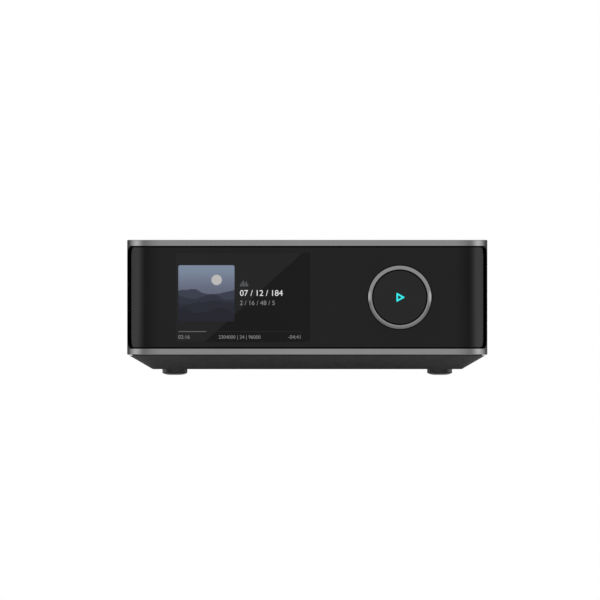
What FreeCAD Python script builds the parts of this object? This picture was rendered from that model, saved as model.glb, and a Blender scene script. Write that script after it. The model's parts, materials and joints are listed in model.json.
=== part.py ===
"""Streaming amplifier: aluminium case with a wrap-round front, display, volume ring and rear sockets.

Millimetres. X runs to the right seen from the front, Y from the front to the back, Z up.
The origin is on the surface that the feet stand on, below the middle of the whole object.
"""
import FreeCAD, Part
import math
import os

V = FreeCAD.Vector

# Case
case_width = 200.0
case_depth = 200.0
corner_radius = 18.0
foot_height = 3.2
pan_height = 8.0
pan_seam = 0.4
shell_height = 63.8
wall = 2.5
top_thickness = 2.5
band_height = 3.3
edge_chamfer = 0.3
opening_wrap = 15.5
opening_corner = 6.5

# Base pan and feet
pan_top_inset = 1.1
pan_bottom_inset = 14.2
pan_bottom_radius = 4.0
pan_floor = 2.0
pan_skirt = 4.0
lip_clearance = 0.3
lip_thickness = 2.2
lip_height = 2.3
foot_radius = 7.0
foot_flat_radius = 3.2
foot_dome = 0.8
foot_taper = 0.15
foot_edge = 0.5
foot_inset = 26.5
foot_stem_radius = 3.0
foot_head_radius = 4.0
foot_head_height = 1.0

# Case fixings
column_radius = 4.5
column_side_inset = 20.0
column_end_inset = 55.0
column_rib = 3.0
case_screw_radius = 1.5
case_screw_head_radius = 2.75
case_screw_head_height = 1.8
case_screw_grip = 10.0
head_recess = 0.4
boss_wall = 2.0
boss_gap = 0.2

# Front lens, liner and display
lens_inset = 1.5
lens_thickness = 2.0
lens_edge_round = 0.4
reveal = 0.6
bezel_thickness = 2.0
bezel_border = 0.8
bezel_wrap = 3.0
glue_line = 0.05
slip = 0.1
window_width = 74.4
window_height = 49.4
window_corner = 1.0
display_side_gap = 9.1
lcd_width = 84.6
lcd_height = 54.6
lcd_thickness = 4.0
lcd_clearance = 0.2
bracket_thickness = 1.0
bracket_margin = 8.0
bracket_rim = 12.0
small_screw_radius = 1.25
small_screw_head_radius = 2.3
small_screw_head_height = 1.6
small_screw_grip = 4.0
bezel_tab_x = 40.0
bezel_tab_width = 9.0
bezel_tab_thickness = 1.5
bezel_tab_y = 18.0

# Volume ring and cap
ring_radius = 17.55
ring_bevel = 1.25
ring_face = 0.8
ring_standoff = 10.5
ring_hole_gap = 0.45
ring_thin_length = 4.5
ring_seat_step = 1.0
ring_side_gap = 13.05
cap_gap = 0.5
cap_recess = 0.3
cap_thickness = 2.1
cap_edge = 0.25
cap_travel = 0.5
travel_spare = 0.3
carrier_web = 3.0
hub_radius = 7.0
sleeve_radius = 5.0
sleeve_bore = 3.0
running_clearance = 0.05
clip_thickness = 0.6
clip_groove_depth = 0.5
clip_radius = 7.0
clip_play = 0.2
encoder_radius = 12.0
encoder_thickness = 5.0
encoder_setback = 1.0
control_board_size = 36.0
control_boss_spread = 14.5
board_thickness = 1.6
switch_size = 6.0
switch_height = 2.5
plunger_radius = 1.75
plunger_height = 0.7
guide_rod_radius = 1.5
guide_head_radius = 3.9
guide_head_thickness = 0.8
icon_width = 4.7
icon_height = 5.2
icon_stroke = 0.8
icon_corner = 0.3
icon_shift = 0.5
icon_depth = 0.8

# Boards and what holds them
short_standoff = 6.8
tall_standoff = 34.8
standoff_radius = 3.0
board_half_gap = 2.0
board_column_gap = 1.5
board_front_gap = 3.6
board_tuck = 3.0
main_board_front = -12.0
board_hole_inset = 8.0
board_rear_gap = 1.0
board_screw_head_radius = 2.8
board_screw_head_height = 2.0
sheet_thickness = 0.4

# Rear panel
panel_thickness = 2.0
panel_inset = 1.0
panel_gap = 0.3
panel_corner = 4.0
panel_lug_depth = 4.0
panel_lug_half = 4.5
panel_screw_inset = 6.0
socket_gap = 0.15
socket_proud = 0.3
lower_row_z = 30.0

# Loudspeaker posts
post_end_gap = 17.0
post_pitch = 19.0
post_count = 4
post_bore = 2.03
post_bore_depth = 22.0
stud_radius = 3.0
flange_radius = 6.5
flange_thickness = 2.0
neck_radius = 4.5
post_collar_radius = 5.2
post_collar_thickness = 1.5
post_play = 0.1
washer_radius = 5.6
washer_thickness = 1.0
post_cap_radius = 5.75
post_cap_length = 13.0
post_cap_wall = 1.2
post_cap_mouth = 2.7
post_flutes = 10
flute_radius = 0.9
nut_radius = 5.0
nut_thickness = 2.5
lug_width = 4.0
lug_thickness = 0.8
lug_reach = 4.0

# Signal sockets
socket_row_gap = 1.5
rca_radius = 4.15
rca_length = 9.0
rca_bore = 3.4
rca_pin_bore = 1.6
rca_block_width = 12.0
rca_block_height = 14.0
rca_block_depth = 12.0
rca_collar_wall = 1.0
rca_centre_recess = 1.5
rca_floor = 1.0
optical_width = 12.6
optical_height = 12.0
optical_depth = 15.0
optical_wall = 1.5
flap_thickness = 0.8
flap_gap = 0.25
flap_pin_radius = 0.5
hdmi_width = 15.0
hdmi_height = 5.8
hdmi_depth = 12.0
usb_width = 13.1
usb_height = 5.8
usb_depth = 14.0
plug_shell_wall = 0.35
plug_shell_floor = 1.0
tongue_gap = 1.0
hdmi_tongue_height = 1.8
usb_tongue_height = 1.9
ethernet_width = 16.0
ethernet_height = 13.4
ethernet_depth = 16.0
ethernet_port_width = 11.9
ethernet_port_height = 8.2
ethernet_port_depth = 13.0
ethernet_floor = 1.6
trigger_radius = 3.0
trigger_bore = 1.8
trigger_depth = 12.0
trigger_body = 8.0
trigger_back_wall = 2.0
collar_proud = 1.0
setup_radius = 2.2
setup_flange_radius = 3.0
setup_travel = 0.5
setup_rise = 5.0

# Mains inlet
inlet_end_gap = 24.0
inlet_width = 22.0
inlet_height = 13.0
inlet_depth = 20.0
inlet_lobe_radius = 4.4
inlet_neck_height = 7.0
inlet_pin_pitch = 8.6
inlet_pin_radius = 1.2
inlet_cavity_depth = 13.5
inlet_pin_setback = 2.0
inlet_face_width = 26.0
inlet_face_height = 16.0
inlet_face_thickness = 1.2
inlet_face_corner = 2.0

# Parts on the boards: sizes as width, depth, height; places from the middle of their board
transformer_size = (34.0, 30.0, 28.0)
transformer_place = (2.0, 12.0)
choke_size = (22.0, 14.0, 20.0)
choke_place = (12.0, 47.0)
bulk_capacitor_radius = 9.0
bulk_capacitor_height = 30.0
bulk_capacitor_gap = 4.0
bulk_capacitor_y = -24.0
can_groove_depth = 0.6
can_groove_width = 1.0
can_groove_rise = 3.0
fuse_radius = 2.6
fuse_length = 20.0
fuse_cap_length = 5.0
fuse_clip = 1.0
fuse_place = (-16.0, 40.0)
chip_size = (14.0, 18.0, 2.5)
amp_y = -30.0
heatsink_size = (54.0, 44.0, 26.0)
heatsink_base = 4.0
fin_count = 9
fin_thickness = 1.6
inductor_size = (12.0, 12.0, 9.0)
inductor_y = 14.0
film_capacitor_size = (12.0, 6.0, 11.0)
film_capacitor_y = 34.0
output_parts = 4
output_pitch = 15.0
processor_can_size = (40.0, 30.0, 3.5)
processor_can_place = (0.0, 40.0)
audio_can_size = (24.0, 22.0, 3.5)
audio_can_end_gap = 16.0
audio_can_y = 40.0
can_corner = 0.8
wireless_size = (24.0, 20.0, 3.0)
wireless_end_gap = 18.0
wireless_y = 36.0
aerial_socket_spread = 6.0
aerial_socket_radius = 1.2
signal_capacitor_radius = 3.2
signal_capacitor_height = 7.5
signal_capacitor_y = 7.2
antenna_size = (1.0, 8.0, 30.0)
flex_width = 14.0
flex_thickness = 0.3

# Levels, from the surface that the feet stand on
pan_z = foot_height
floor_z = pan_z + pan_floor
shell_z = pan_z + pan_height
rim_z = shell_z - pan_seam
lip_z = shell_z + lip_height
top_z = shell_z + shell_height
ceiling_z = top_z - top_thickness
opening_bottom = shell_z + band_height
opening_top = top_z - band_height
front_centre_z = (opening_bottom + opening_top) / 2
lower_board_z = floor_z + short_standoff
lower_top_z = lower_board_z + board_thickness
main_board_z = lower_top_z + tall_standoff
main_top_z = main_board_z + board_thickness

# Reach in front of and behind the case, and the planes that follow
post_reach = (
    flange_thickness + post_collar_thickness + washer_thickness + post_cap_length
    + 2 * post_play - panel_inset
)
ring_reach = ring_standoff - lens_inset
case_y = (ring_reach - post_reach) / 2
front_y = case_y - case_depth / 2
rear_y = case_y + case_depth / 2
lens_y = front_y + lens_inset
lens_back_y = lens_y + lens_thickness
bezel_back_y = lens_back_y + bezel_thickness
ring_front_y = lens_y - ring_standoff
panel_y = rear_y - panel_inset
panel_inner_y = panel_y - panel_thickness

# Places across the front
flat_half = case_width / 2 - corner_radius
display_x = -flat_half + display_side_gap + window_width / 2
ring_x = flat_half - ring_side_gap - ring_radius
ring_hole_radius = ring_radius + ring_hole_gap

# Places of the columns and of the lower boards, which stay clear of the columns, the liner and the inlet
column_x = case_width / 2 - column_side_inset
column_y = case_depth / 2 - column_end_inset
board_reach = column_x - column_radius - board_column_gap
board_front_y = front_y + bezel_tab_y + small_screw_head_radius + slip + board_front_gap
board_back_y = panel_y - inlet_depth + board_tuck
board_middle_y = (board_front_y + board_back_y) / 2

# Places of the sockets across the back: one row spread evenly between the panel's screws
row_widths = (
    rca_block_width, rca_block_width, rca_block_width, optical_width, hdmi_width,
    ethernet_width, usb_width, trigger_body, 2 * setup_flange_radius,
)
row_start = -flat_half + panel_screw_inset + panel_lug_half + socket_row_gap
row_gap = (-2 * row_start - sum(row_widths)) / (len(row_widths) - 1)
row_places = [
    row_start + sum(row_widths[:index]) + index * row_gap + width / 2
    for index, width in enumerate(row_widths)
]
rca_x = row_places[:3]
optical_x, hdmi_x, ethernet_x, usb_x, trigger_x, setup_x = row_places[3:]
post_first_x = -flat_half + post_end_gap
inlet_x = flat_half - inlet_end_gap


def block(x0, x1, y0, y1, z0, z1):
    """Box between two corners."""
    return Part.makeBox(x1 - x0, y1 - y0, z1 - z0, V(x0, y0, z0))


def slab(x, width, y0, y1, z, height):
    """Box centred on x and z that runs from y0 to y1."""
    return block(x - width / 2, x + width / 2, y0, y1, z - height / 2, z + height / 2)


def standing_box(x, y, z, size):
    """Box of (width, depth, height) that stands on z, centred on x and y."""
    width, depth, height = size
    return block(x - width / 2, x + width / 2, y - depth / 2, y + depth / 2, z, z + height)


def rod_y(x, z, radius, y0, y1):
    """Round bar along Y."""
    return Part.makeCylinder(radius, y1 - y0, V(x, y0, z), V(0, 1, 0))


def rod_z(x, y, radius, z0, z1):
    """Round bar along Z."""
    return Part.makeCylinder(radius, z1 - z0, V(x, y, z0), V(0, 0, 1))


def tube_y(x, z, outer, inner, y0, y1):
    """Round tube along Y."""
    return rod_y(x, z, outer, y0, y1).cut(rod_y(x, z, inner, y0, y1))


def rounded_wire(half_x, half_y, radius, z):
    """Closed outline of a rounded rectangle about the middle of the case, at height z."""
    arcs = []
    for turn, (side_x, side_y) in enumerate(((1, 1), (-1, 1), (-1, -1), (1, -1))):
        centre = V(side_x * (half_x - radius), case_y + side_y * (half_y - radius), z)
        angles = [math.radians(90 * turn + step) for step in (0, 45, 90)]
        points = [centre + V(radius * math.cos(a), radius * math.sin(a), 0) for a in angles]
        arcs.append(Part.Arc(*points).toShape())
    edges = []
    for arc, following in zip(arcs, arcs[1:] + arcs[:1]):
        edges.append(arc)
        edges.append(Part.makeLine(arc.Vertexes[-1].Point, following.Vertexes[0].Point))
    return Part.Wire(edges)


def case_prism(inset, z0, z1):
    """Upright prism with the case's plan drawn in by inset."""
    wire = rounded_wire(case_width / 2 - inset, case_depth / 2 - inset, corner_radius - inset, z0)
    return Part.Face(wire).extrude(V(0, 0, z1 - z0))


def case_frustum(inset0, radius0, z0, inset1, radius1, z1):
    """Solid between two rounded rectangles at different heights."""
    lower = rounded_wire(case_width / 2 - inset0, case_depth / 2 - inset0, radius0, z0)
    upper = rounded_wire(case_width / 2 - inset1, case_depth / 2 - inset1, radius1, z1)
    return Part.makeLoft([lower, upper], True, True)


def rounded_slab(x, width, y0, y1, z, height, radius):
    """Slab facing along Y with rounded corners."""
    shape = slab(x, width, y0, y1, z, height)
    return shape.makeFillet(radius, edges_along(shape, V(0, 1, 0)))


def edges_along(shape, direction):
    """Straight edges of a shape that run along a direction."""
    found = []
    for edge in shape.Edges:
        run = edge.Vertexes[-1].Point - edge.Vertexes[0].Point
        if run.Length > 0 and run.cross(direction).Length < 1e-6 * run.Length:
            found.append(edge)
    return found


def side_sweep(y_end, z0, z1, radius):
    """Front part of space across the whole width, with its two rear corners rounded in side view."""
    reach = case_width / 2 + corner_radius
    shape = block(-reach, reach, front_y - corner_radius, y_end, z0, z1)
    rear_edges = [e for e in edges_along(shape, V(1, 0, 0)) if abs(e.Vertexes[0].Point.y - y_end) < 1e-6]
    return shape.makeFillet(radius, rear_edges)


def turned_y(x, z, profile):
    """Body of revolution about the line along Y through x and z, from (radius, y) points."""
    points = [V(x + radius, y, z) for radius, y in profile]
    face = Part.Face(Part.makePolygon(points + points[:1]))
    return face.revolve(V(x, 0, z), V(0, 1, 0), 360)


def fused(shapes):
    """One solid of several that meet."""
    result = shapes[0]
    for shape in shapes[1:]:
        result = result.fuse(shape)
    return result.removeSplitter()


def without(shape, tools):
    """Shape with each tool cut away."""
    for tool in tools:
        shape = shape.cut(tool)
    return shape


def save(node, shapes):
    """Write one node, which may be a group of separate solids."""
    shape = shapes[0] if len(shapes) == 1 else Part.makeCompound(shapes)
    shape.exportStep("parts/" + node + ".step")


def four_corners(spread_x, spread_y):
    """Four places about the origin, in a fixed order."""
    return [(sx * spread_x, sy * spread_y) for sx in (-1, 1) for sy in (-1, 1)]


def column_places():
    """Axes of the four columns that the base is screwed to."""
    return [(x, case_y + y) for x, y in four_corners(column_x, column_y)]


def foot_places():
    """Axes of the feet."""
    spread = four_corners(case_width / 2 - foot_inset, case_depth / 2 - foot_inset)
    return [(x, case_y + y) for x, y in spread]


def panel_size():
    """Width and height of the window in the rear wall."""
    return 2 * flat_half, opening_top - opening_bottom


def panel_screw_places():
    """Axes of the rear panel's screws."""
    width, height = panel_size()
    spread = four_corners(width / 2 - panel_screw_inset, height / 2 - panel_screw_inset)
    return [(x, front_centre_z + z) for x, z in spread]


def shell_column(x, y):
    """Column under the top with a rib to the side wall and a screw hole from below."""
    side = 1 if x > 0 else -1
    bottom = floor_z + case_screw_head_height + boss_wall + boss_gap
    column = rod_z(x, y, column_radius, bottom, ceiling_z + wall / 2)
    wall_x = side * (case_width / 2 - wall / 2)
    rib_bottom = lip_z + boss_gap
    x0, x1 = sorted((x, wall_x))
    rib = block(x0, x1, y - column_rib / 2, y + column_rib / 2, rib_bottom, ceiling_z + wall / 2)
    hole = rod_z(x, y, case_screw_radius + running_clearance, bottom, bottom + case_screw_grip)
    return column.fuse(rib).cut(hole)


def panel_lug(x, z):
    """Lug beside the rear window that the panel is screwed to."""
    side = 1 if x > 0 else -1
    edge_x = side * (flat_half + panel_lug_depth)
    inner_x = x - side * panel_lug_half
    window_x = side * (flat_half + panel_gap)
    half = panel_lug_half
    lug_y = panel_inner_y - panel_lug_depth
    plate = block(min(inner_x, edge_x), max(inner_x, edge_x), lug_y, panel_inner_y, z - half, z + half)
    foot = block(min(window_x, edge_x), max(window_x, edge_x), lug_y, rear_y - wall / 2, z - half, z + half)
    hole = rod_y(x, z, case_screw_radius + running_clearance, lug_y, panel_inner_y)
    return plate.fuse(foot).cut(hole)


def shell():
    """Case body: walls and top in one, open at the front, the back and below."""
    body = case_prism(0, shell_z, top_z)
    rims = [e for e in body.Edges if abs(e.Vertexes[0].Point.z - e.Vertexes[-1].Point.z) < 1e-6]
    body = body.makeChamfer(edge_chamfer, rims)
    body = body.cut(case_prism(wall, shell_z - wall, ceiling_z))
    body = body.cut(side_sweep(front_y + opening_wrap, opening_bottom, opening_top, opening_corner))
    width, height = panel_size()
    window = rounded_slab(0, width, rear_y - 2 * wall, rear_y + wall, front_centre_z, height, panel_corner)
    body = body.cut(window)
    fixings = [shell_column(x, y) for x, y in column_places()]
    fixings += [panel_lug(x, z) for x, z in panel_screw_places()]
    return fused([body] + fixings)


def pan_slope_inset(z):
    """Inset of the pan's outside at a height on its slope."""
    share = (z - pan_z) / (rim_z - pan_z)
    return pan_bottom_inset + share * (pan_top_inset - pan_bottom_inset)


def pan_boss(x, y, top):
    """Boss on the pan's floor."""
    return rod_z(x, y, case_screw_head_radius + boss_wall, pan_z + pan_floor / 2, top)


def tab_boss_places():
    """Axes of the screws that hold the front liner to the pan."""
    return [(side * bezel_tab_x, front_y + bezel_tab_y) for side in (-1, 1)]


def base_pan():
    """Tray with a sloping skirt and a lip that stands inside the shell."""
    top_radius = corner_radius - pan_top_inset
    outside = case_frustum(pan_bottom_inset, pan_bottom_radius, pan_z, pan_top_inset, top_radius, rim_z)
    floor_inset = pan_slope_inset(floor_z) + pan_skirt
    rim_inset = pan_top_inset + pan_skirt
    inner_radius = corner_radius - rim_inset
    inside = case_frustum(floor_inset, pan_bottom_radius, floor_z, rim_inset, inner_radius, rim_z)
    lip_inset = wall + lip_clearance
    lip = case_prism(lip_inset, rim_z, lip_z).cut(case_prism(lip_inset + lip_thickness, rim_z, lip_z))
    pan = outside.cut(inside).fuse(lip)
    head_top = pan_z + head_recess + case_screw_head_height
    for x, y in column_places():
        pan = pan.fuse(pan_boss(x, y, floor_z + case_screw_head_height + boss_wall))
        pan = pan.cut(rod_z(x, y, case_screw_head_radius + slip, pan_z, head_top))
        pan = pan.cut(rod_z(x, y, case_screw_radius + slip, pan_z, shell_z + lip_height))
    for x, y in foot_places():
        pan = pan.cut(rod_z(x, y, foot_stem_radius + running_clearance, pan_z, floor_z))
    for x, y in tab_boss_places():
        boss_radius = small_screw_head_radius + slip
        pan = pan.fuse(rod_z(x, y, boss_radius, pan_z + pan_floor / 2, bezel_tab_z()))
        hole_bottom = bezel_tab_z() - small_screw_grip
        pan = pan.cut(rod_z(x, y, small_screw_radius + running_clearance, hole_bottom, bezel_tab_z()))
    return pan.removeSplitter()


def foot(x, y):
    """Rubber foot with a domed sole and a push-in stem."""
    side_radius = foot_radius - foot_taper
    sole_radius = side_radius - foot_edge
    dome = Part.Arc(
        V(x + foot_flat_radius, y, 0),
        V(x + (foot_flat_radius + sole_radius) / 2, y, foot_dome * 0.3),
        V(x + sole_radius, y, foot_dome),
    )
    edge_mid = foot_edge * (1 - math.sqrt(0.5))
    edge = Part.Arc(
        V(x + sole_radius, y, foot_dome),
        V(x + side_radius - edge_mid, y, foot_dome + edge_mid),
        V(x + side_radius, y, foot_dome + foot_edge),
    )
    rest = Part.makePolygon([
        V(x + side_radius, y, foot_dome + foot_edge),
        V(x + foot_radius, y, pan_z),
        V(x + foot_stem_radius, y, pan_z),
        V(x + foot_stem_radius, y, floor_z),
        V(x + foot_head_radius, y, floor_z),
        V(x + foot_head_radius, y, floor_z + foot_head_height),
        V(x, y, floor_z + foot_head_height),
        V(x, y, 0),
        V(x + foot_flat_radius, y, 0),
    ])
    wire = Part.Wire([dome.toShape(), edge.toShape()] + rest.Edges)
    return Part.Face(wire).revolve(V(x, y, 0), V(0, 0, 1), 360)


def screw_up(x, y, head_z, tip_z):
    """Case screw from below, with a cross recess."""
    head = rod_z(x, y, case_screw_head_radius, head_z, head_z + case_screw_head_height)
    shank = rod_z(x, y, case_screw_radius, head_z, tip_z)
    depth = case_screw_head_height * 0.6
    arm = case_screw_head_radius * 0.65
    slot = case_screw_radius * 0.2
    cross = [block(x - arm, x + arm, y - slot, y + slot, head_z, head_z + depth),
             block(x - slot, x + slot, y - arm, y + arm, head_z, head_z + depth)]
    return without(head.fuse(shank), cross)


def screw_in(x, z, head_y, tip_y):
    """Case screw from the back, with a cross recess."""
    head = rod_y(x, z, case_screw_head_radius, head_y - case_screw_head_height, head_y)
    shank = rod_y(x, z, case_screw_radius, tip_y, head_y)
    depth = case_screw_head_height * 0.6
    arm = case_screw_head_radius * 0.65
    slot = case_screw_radius * 0.2
    cross = [slab(x, 2 * arm, head_y - depth, head_y, z, 2 * slot),
             slab(x, 2 * slot, head_y - depth, head_y, z, 2 * arm)]
    return without(head.fuse(shank), cross)


def case_screws():
    """Screws of the base and of the rear panel."""
    head_z = pan_z + head_recess
    column_bottom = floor_z + case_screw_head_height + boss_wall + boss_gap
    tip_z = column_bottom + case_screw_grip - boss_wall
    screws = [screw_up(x, y, head_z, tip_z) for x, y in column_places()]
    tip_y = panel_inner_y - panel_lug_depth
    screws += [screw_in(x, z, panel_y + case_screw_head_height, tip_y) for x, z in panel_screw_places()]
    return screws


def lens_sweep(grow):
    """Side outline of the lens, grown all round."""
    return side_sweep(
        front_y + opening_wrap - reveal + grow,
        opening_bottom + reveal - grow,
        opening_top - reveal + grow,
        opening_corner - reveal + grow,
    )


def front_skin(outer_inset, inner_inset, sweep):
    """Part of a shell between two insets that lies inside a side outline."""
    low = shell_z
    high = ceiling_z
    return case_prism(outer_inset, low, high).cut(case_prism(inner_inset, low, high)).common(sweep)


def front_lens():
    """Gloss front that wraps round both corners, with the display's window and the ring's hole."""
    lens = front_skin(lens_inset, lens_inset + lens_thickness, lens_sweep(0))
    outer_edges = []
    for edge in lens.Edges:
        middle = edge.valueAt((edge.FirstParameter + edge.LastParameter) / 2)
        if outer_skin_distance(middle) < 1e-4:
            if edge_is_on_outline(middle):
                outer_edges.append(edge)
    lens = lens.makeFillet(lens_edge_round, outer_edges)
    window = rounded_slab(
        display_x, window_width + 2 * glue_line, lens_y - slip, lens_back_y + slip,
        front_centre_z, window_height + 2 * glue_line, window_corner,
    )
    hole = rod_y(ring_x, front_centre_z, ring_hole_radius, lens_y - slip, lens_back_y + slip)
    return without(lens, [window, hole])


def outer_skin_distance(point):
    """Distance of a point from the upright surface of the lens's outside."""
    half_x = case_width / 2 - lens_inset
    half_y = case_depth / 2 - lens_inset
    radius = corner_radius - lens_inset
    dx = abs(point.x) - (half_x - radius)
    dy = abs(point.y - case_y) - (half_y - radius)
    if dx > 0 and dy > 0:
        return abs(math.hypot(dx, dy) - radius)
    return min(abs(abs(point.x) - half_x), abs(abs(point.y - case_y) - half_y))


def edge_is_on_outline(point):
    """Whether a point lies on the lens's side outline and not on a seam between its faces."""
    low = opening_bottom + reveal
    high = opening_top - reveal
    rear = front_y + opening_wrap - reveal
    corner = opening_corner - reveal
    if min(abs(point.z - low), abs(point.z - high), abs(point.y - rear)) < 1e-4:
        return True
    beyond = point.y - (rear - corner)
    above = abs(point.z - front_centre_z) - ((high - low) / 2 - corner)
    return beyond > 0 and above > 0 and abs(math.hypot(beyond, above) - corner) < 1e-4


def bezel_tab_z():
    """Underside of the liner's tabs."""
    return lip_z + boss_gap


def bracket_places():
    """Axes of the display bracket's screws."""
    spread_x = lcd_width / 2 + lcd_clearance + boss_wall + small_screw_radius
    spread_z = lcd_height / 2 - bracket_margin
    return [(display_x + x, front_centre_z + z) for x, z in four_corners(spread_x, spread_z)]


def control_places():
    """Axes of the control board's screws."""
    spread = four_corners(control_boss_spread, control_boss_spread)
    return [(ring_x + x, front_centre_z + z) for x, z in spread]


def control_board_y():
    """Front face of the control board."""
    return bezel_back_y + encoder_setback + encoder_thickness


def bracket_y():
    """Front face of the display bracket."""
    return lens_back_y + lcd_thickness


def front_bezel():
    """Black liner that carries the lens, the display and the controls."""
    outer_inset = wall + slip
    inner_inset = lens_inset + lens_thickness + bezel_thickness
    sweep = side_sweep(
        front_y + opening_wrap + bezel_wrap,
        bezel_tab_z(),
        opening_top + bezel_border - boss_gap,
        opening_corner,
    )
    liner = front_skin(outer_inset, inner_inset, sweep)
    pocket = front_skin(0, lens_inset + lens_thickness + glue_line, lens_sweep(slip))
    liner = liner.cut(pocket)
    start_y = lens_back_y + bezel_thickness / 2
    boss_radius = small_screw_radius + boss_wall
    for x, z in bracket_places():
        liner = liner.fuse(rod_y(x, z, boss_radius, start_y, bracket_y()))
        liner = liner.cut(rod_y(x, z, small_screw_radius + running_clearance, start_y, bracket_y()))
    for x, z in control_places():
        liner = liner.fuse(rod_y(x, z, boss_radius, start_y, control_board_y()))
        hole_y = control_board_y() - small_screw_grip
        liner = liner.cut(rod_y(x, z, small_screw_radius + running_clearance, hole_y, control_board_y()))
    for x, y in tab_boss_places():
        tab_z = bezel_tab_z()
        tab = block(
            x - bezel_tab_width / 2, x + bezel_tab_width / 2, start_y, y + bezel_tab_width / 2,
            tab_z, tab_z + bezel_tab_thickness,
        )
        hole = rod_z(x, y, small_screw_radius + slip, tab_z, tab_z + bezel_tab_thickness)
        liner = liner.fuse(tab).cut(hole)
    aperture = slab(
        display_x, lcd_width + 2 * lcd_clearance, front_y, bracket_y() + slip,
        front_centre_z, lcd_height + 2 * lcd_clearance,
    )
    hub_hole = rod_y(ring_x, front_centre_z, hub_radius + boss_wall, front_y, bezel_back_y + slip)
    return without(liner, [aperture, hub_hole]).removeSplitter()


def display_glass():
    """Cover glass, flush with the lens."""
    corner = window_corner - glue_line
    return rounded_slab(display_x, window_width, lens_y, lens_back_y, front_centre_z, window_height, corner)


def lcd_module():
    """Display module behind the glass."""
    return slab(display_x, lcd_width, lens_back_y, bracket_y(), front_centre_z, lcd_height)


def display_bracket():
    """Sheet frame that holds the display module against the lens."""
    side = lcd_clearance + 2 * boss_wall + small_screw_radius + small_screw_head_radius / 2
    width = lcd_width + 2 * side
    height = lcd_height - bracket_rim / 2
    back_y = bracket_y() + bracket_thickness
    plate = slab(display_x, width, bracket_y(), back_y, front_centre_z, height)
    hole_width = lcd_width - 2 * bracket_rim
    hole = slab(display_x, hole_width, bracket_y(), back_y, front_centre_z, height - 2 * bracket_rim)
    screws = [rod_y(x, z, small_screw_radius + slip, bracket_y(), back_y) for x, z in bracket_places()]
    return without(plate, [hole] + screws)


def front_screws():
    """Small screws of the bracket, the control board and the liner's tabs."""
    screws = []
    for places, face_y in ((bracket_places(), bracket_y() + bracket_thickness),
                           (control_places(), control_board_y() + board_thickness)):
        for x, z in places:
            head = rod_y(x, z, small_screw_head_radius, face_y, face_y + small_screw_head_height)
            screws.append(head.fuse(rod_y(x, z, small_screw_radius, face_y - small_screw_grip / 2, face_y)))
    for x, y in tab_boss_places():
        face_z = bezel_tab_z() + bezel_tab_thickness
        head = rod_z(x, y, small_screw_head_radius, face_z, face_z + small_screw_head_height)
        screws.append(head.fuse(rod_z(x, y, small_screw_radius, face_z - small_screw_grip, face_z)))
    return screws


def ring_planes():
    """Planes along the ring's axis, from the front backwards."""
    seat_y = ring_front_y + ring_thin_length
    clip_y = seat_y - clip_play - clip_thickness
    sleeve_y = clip_y - clip_thickness
    ring_back_y = lens_back_y - slip - cap_travel
    body_y = bezel_back_y + encoder_setback
    return seat_y, clip_y, sleeve_y, ring_back_y, body_y


def volume_ring():
    """Turned aluminium ring with a bevelled front edge."""
    seat_y, clip_y, sleeve_y, back_y, body_y = ring_planes()
    inner = ring_radius - ring_bevel - ring_face
    return turned_y(ring_x, front_centre_z, [
        (inner, ring_front_y),
        (inner + ring_face, ring_front_y),
        (ring_radius, ring_front_y + ring_bevel),
        (ring_radius, back_y),
        (inner + ring_seat_step, back_y),
        (inner + ring_seat_step, seat_y),
        (inner, seat_y),
    ])


def ring_carrier():
    """Web and hub inside the ring, which turn on the fixed sleeve."""
    seat_y, clip_y, sleeve_y, back_y, body_y = ring_planes()
    rim = ring_radius - ring_bevel - ring_face + ring_seat_step - glue_line
    bore = sleeve_radius + running_clearance
    return turned_y(ring_x, front_centre_z, [
        (bore, seat_y),
        (rim, seat_y),
        (rim, seat_y + carrier_web),
        (hub_radius, seat_y + carrier_web),
        (hub_radius, body_y - clip_play),
        (bore, body_y - clip_play),
    ])


def carrier_clip():
    """Open retaining ring in the sleeve's groove."""
    seat_y, clip_y, sleeve_y, back_y, body_y = ring_planes()
    inner = sleeve_radius - clip_groove_depth + running_clearance
    ring = tube_y(ring_x, front_centre_z, clip_radius, inner, clip_y, clip_y + clip_thickness)
    mouth_x = ring_x + clip_radius
    mouth = slab(mouth_x, 2 * clip_radius, clip_y, clip_y + clip_thickness, front_centre_z, inner)
    return ring.cut(mouth)


def encoder_body():
    """Fixed encoder housing with the hollow sleeve that the ring turns on."""
    seat_y, clip_y, sleeve_y, back_y, body_y = ring_planes()
    board_y = control_board_y()
    groove = sleeve_radius - clip_groove_depth
    switch_room = switch_size / math.sqrt(2) + slip
    room_y = board_y - switch_height - plunger_height - cap_travel - travel_spare
    bore = sleeve_bore
    return turned_y(ring_x, front_centre_z, [
        (bore, sleeve_y),
        (sleeve_radius, sleeve_y),
        (sleeve_radius, clip_y - running_clearance),
        (groove, clip_y - running_clearance),
        (groove, clip_y + clip_thickness + running_clearance),
        (sleeve_radius, clip_y + clip_thickness + running_clearance),
        (sleeve_radius, body_y),
        (encoder_radius, body_y),
        (encoder_radius, board_y),
        (switch_room, board_y),
        (switch_room, room_y),
        (bore, room_y),
    ])


def stem_end_y():
    """Rear end of the cap's stem at rest, a little more than its travel from the switch."""
    return control_board_y() - switch_height - plunger_height - cap_travel - slip


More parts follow.
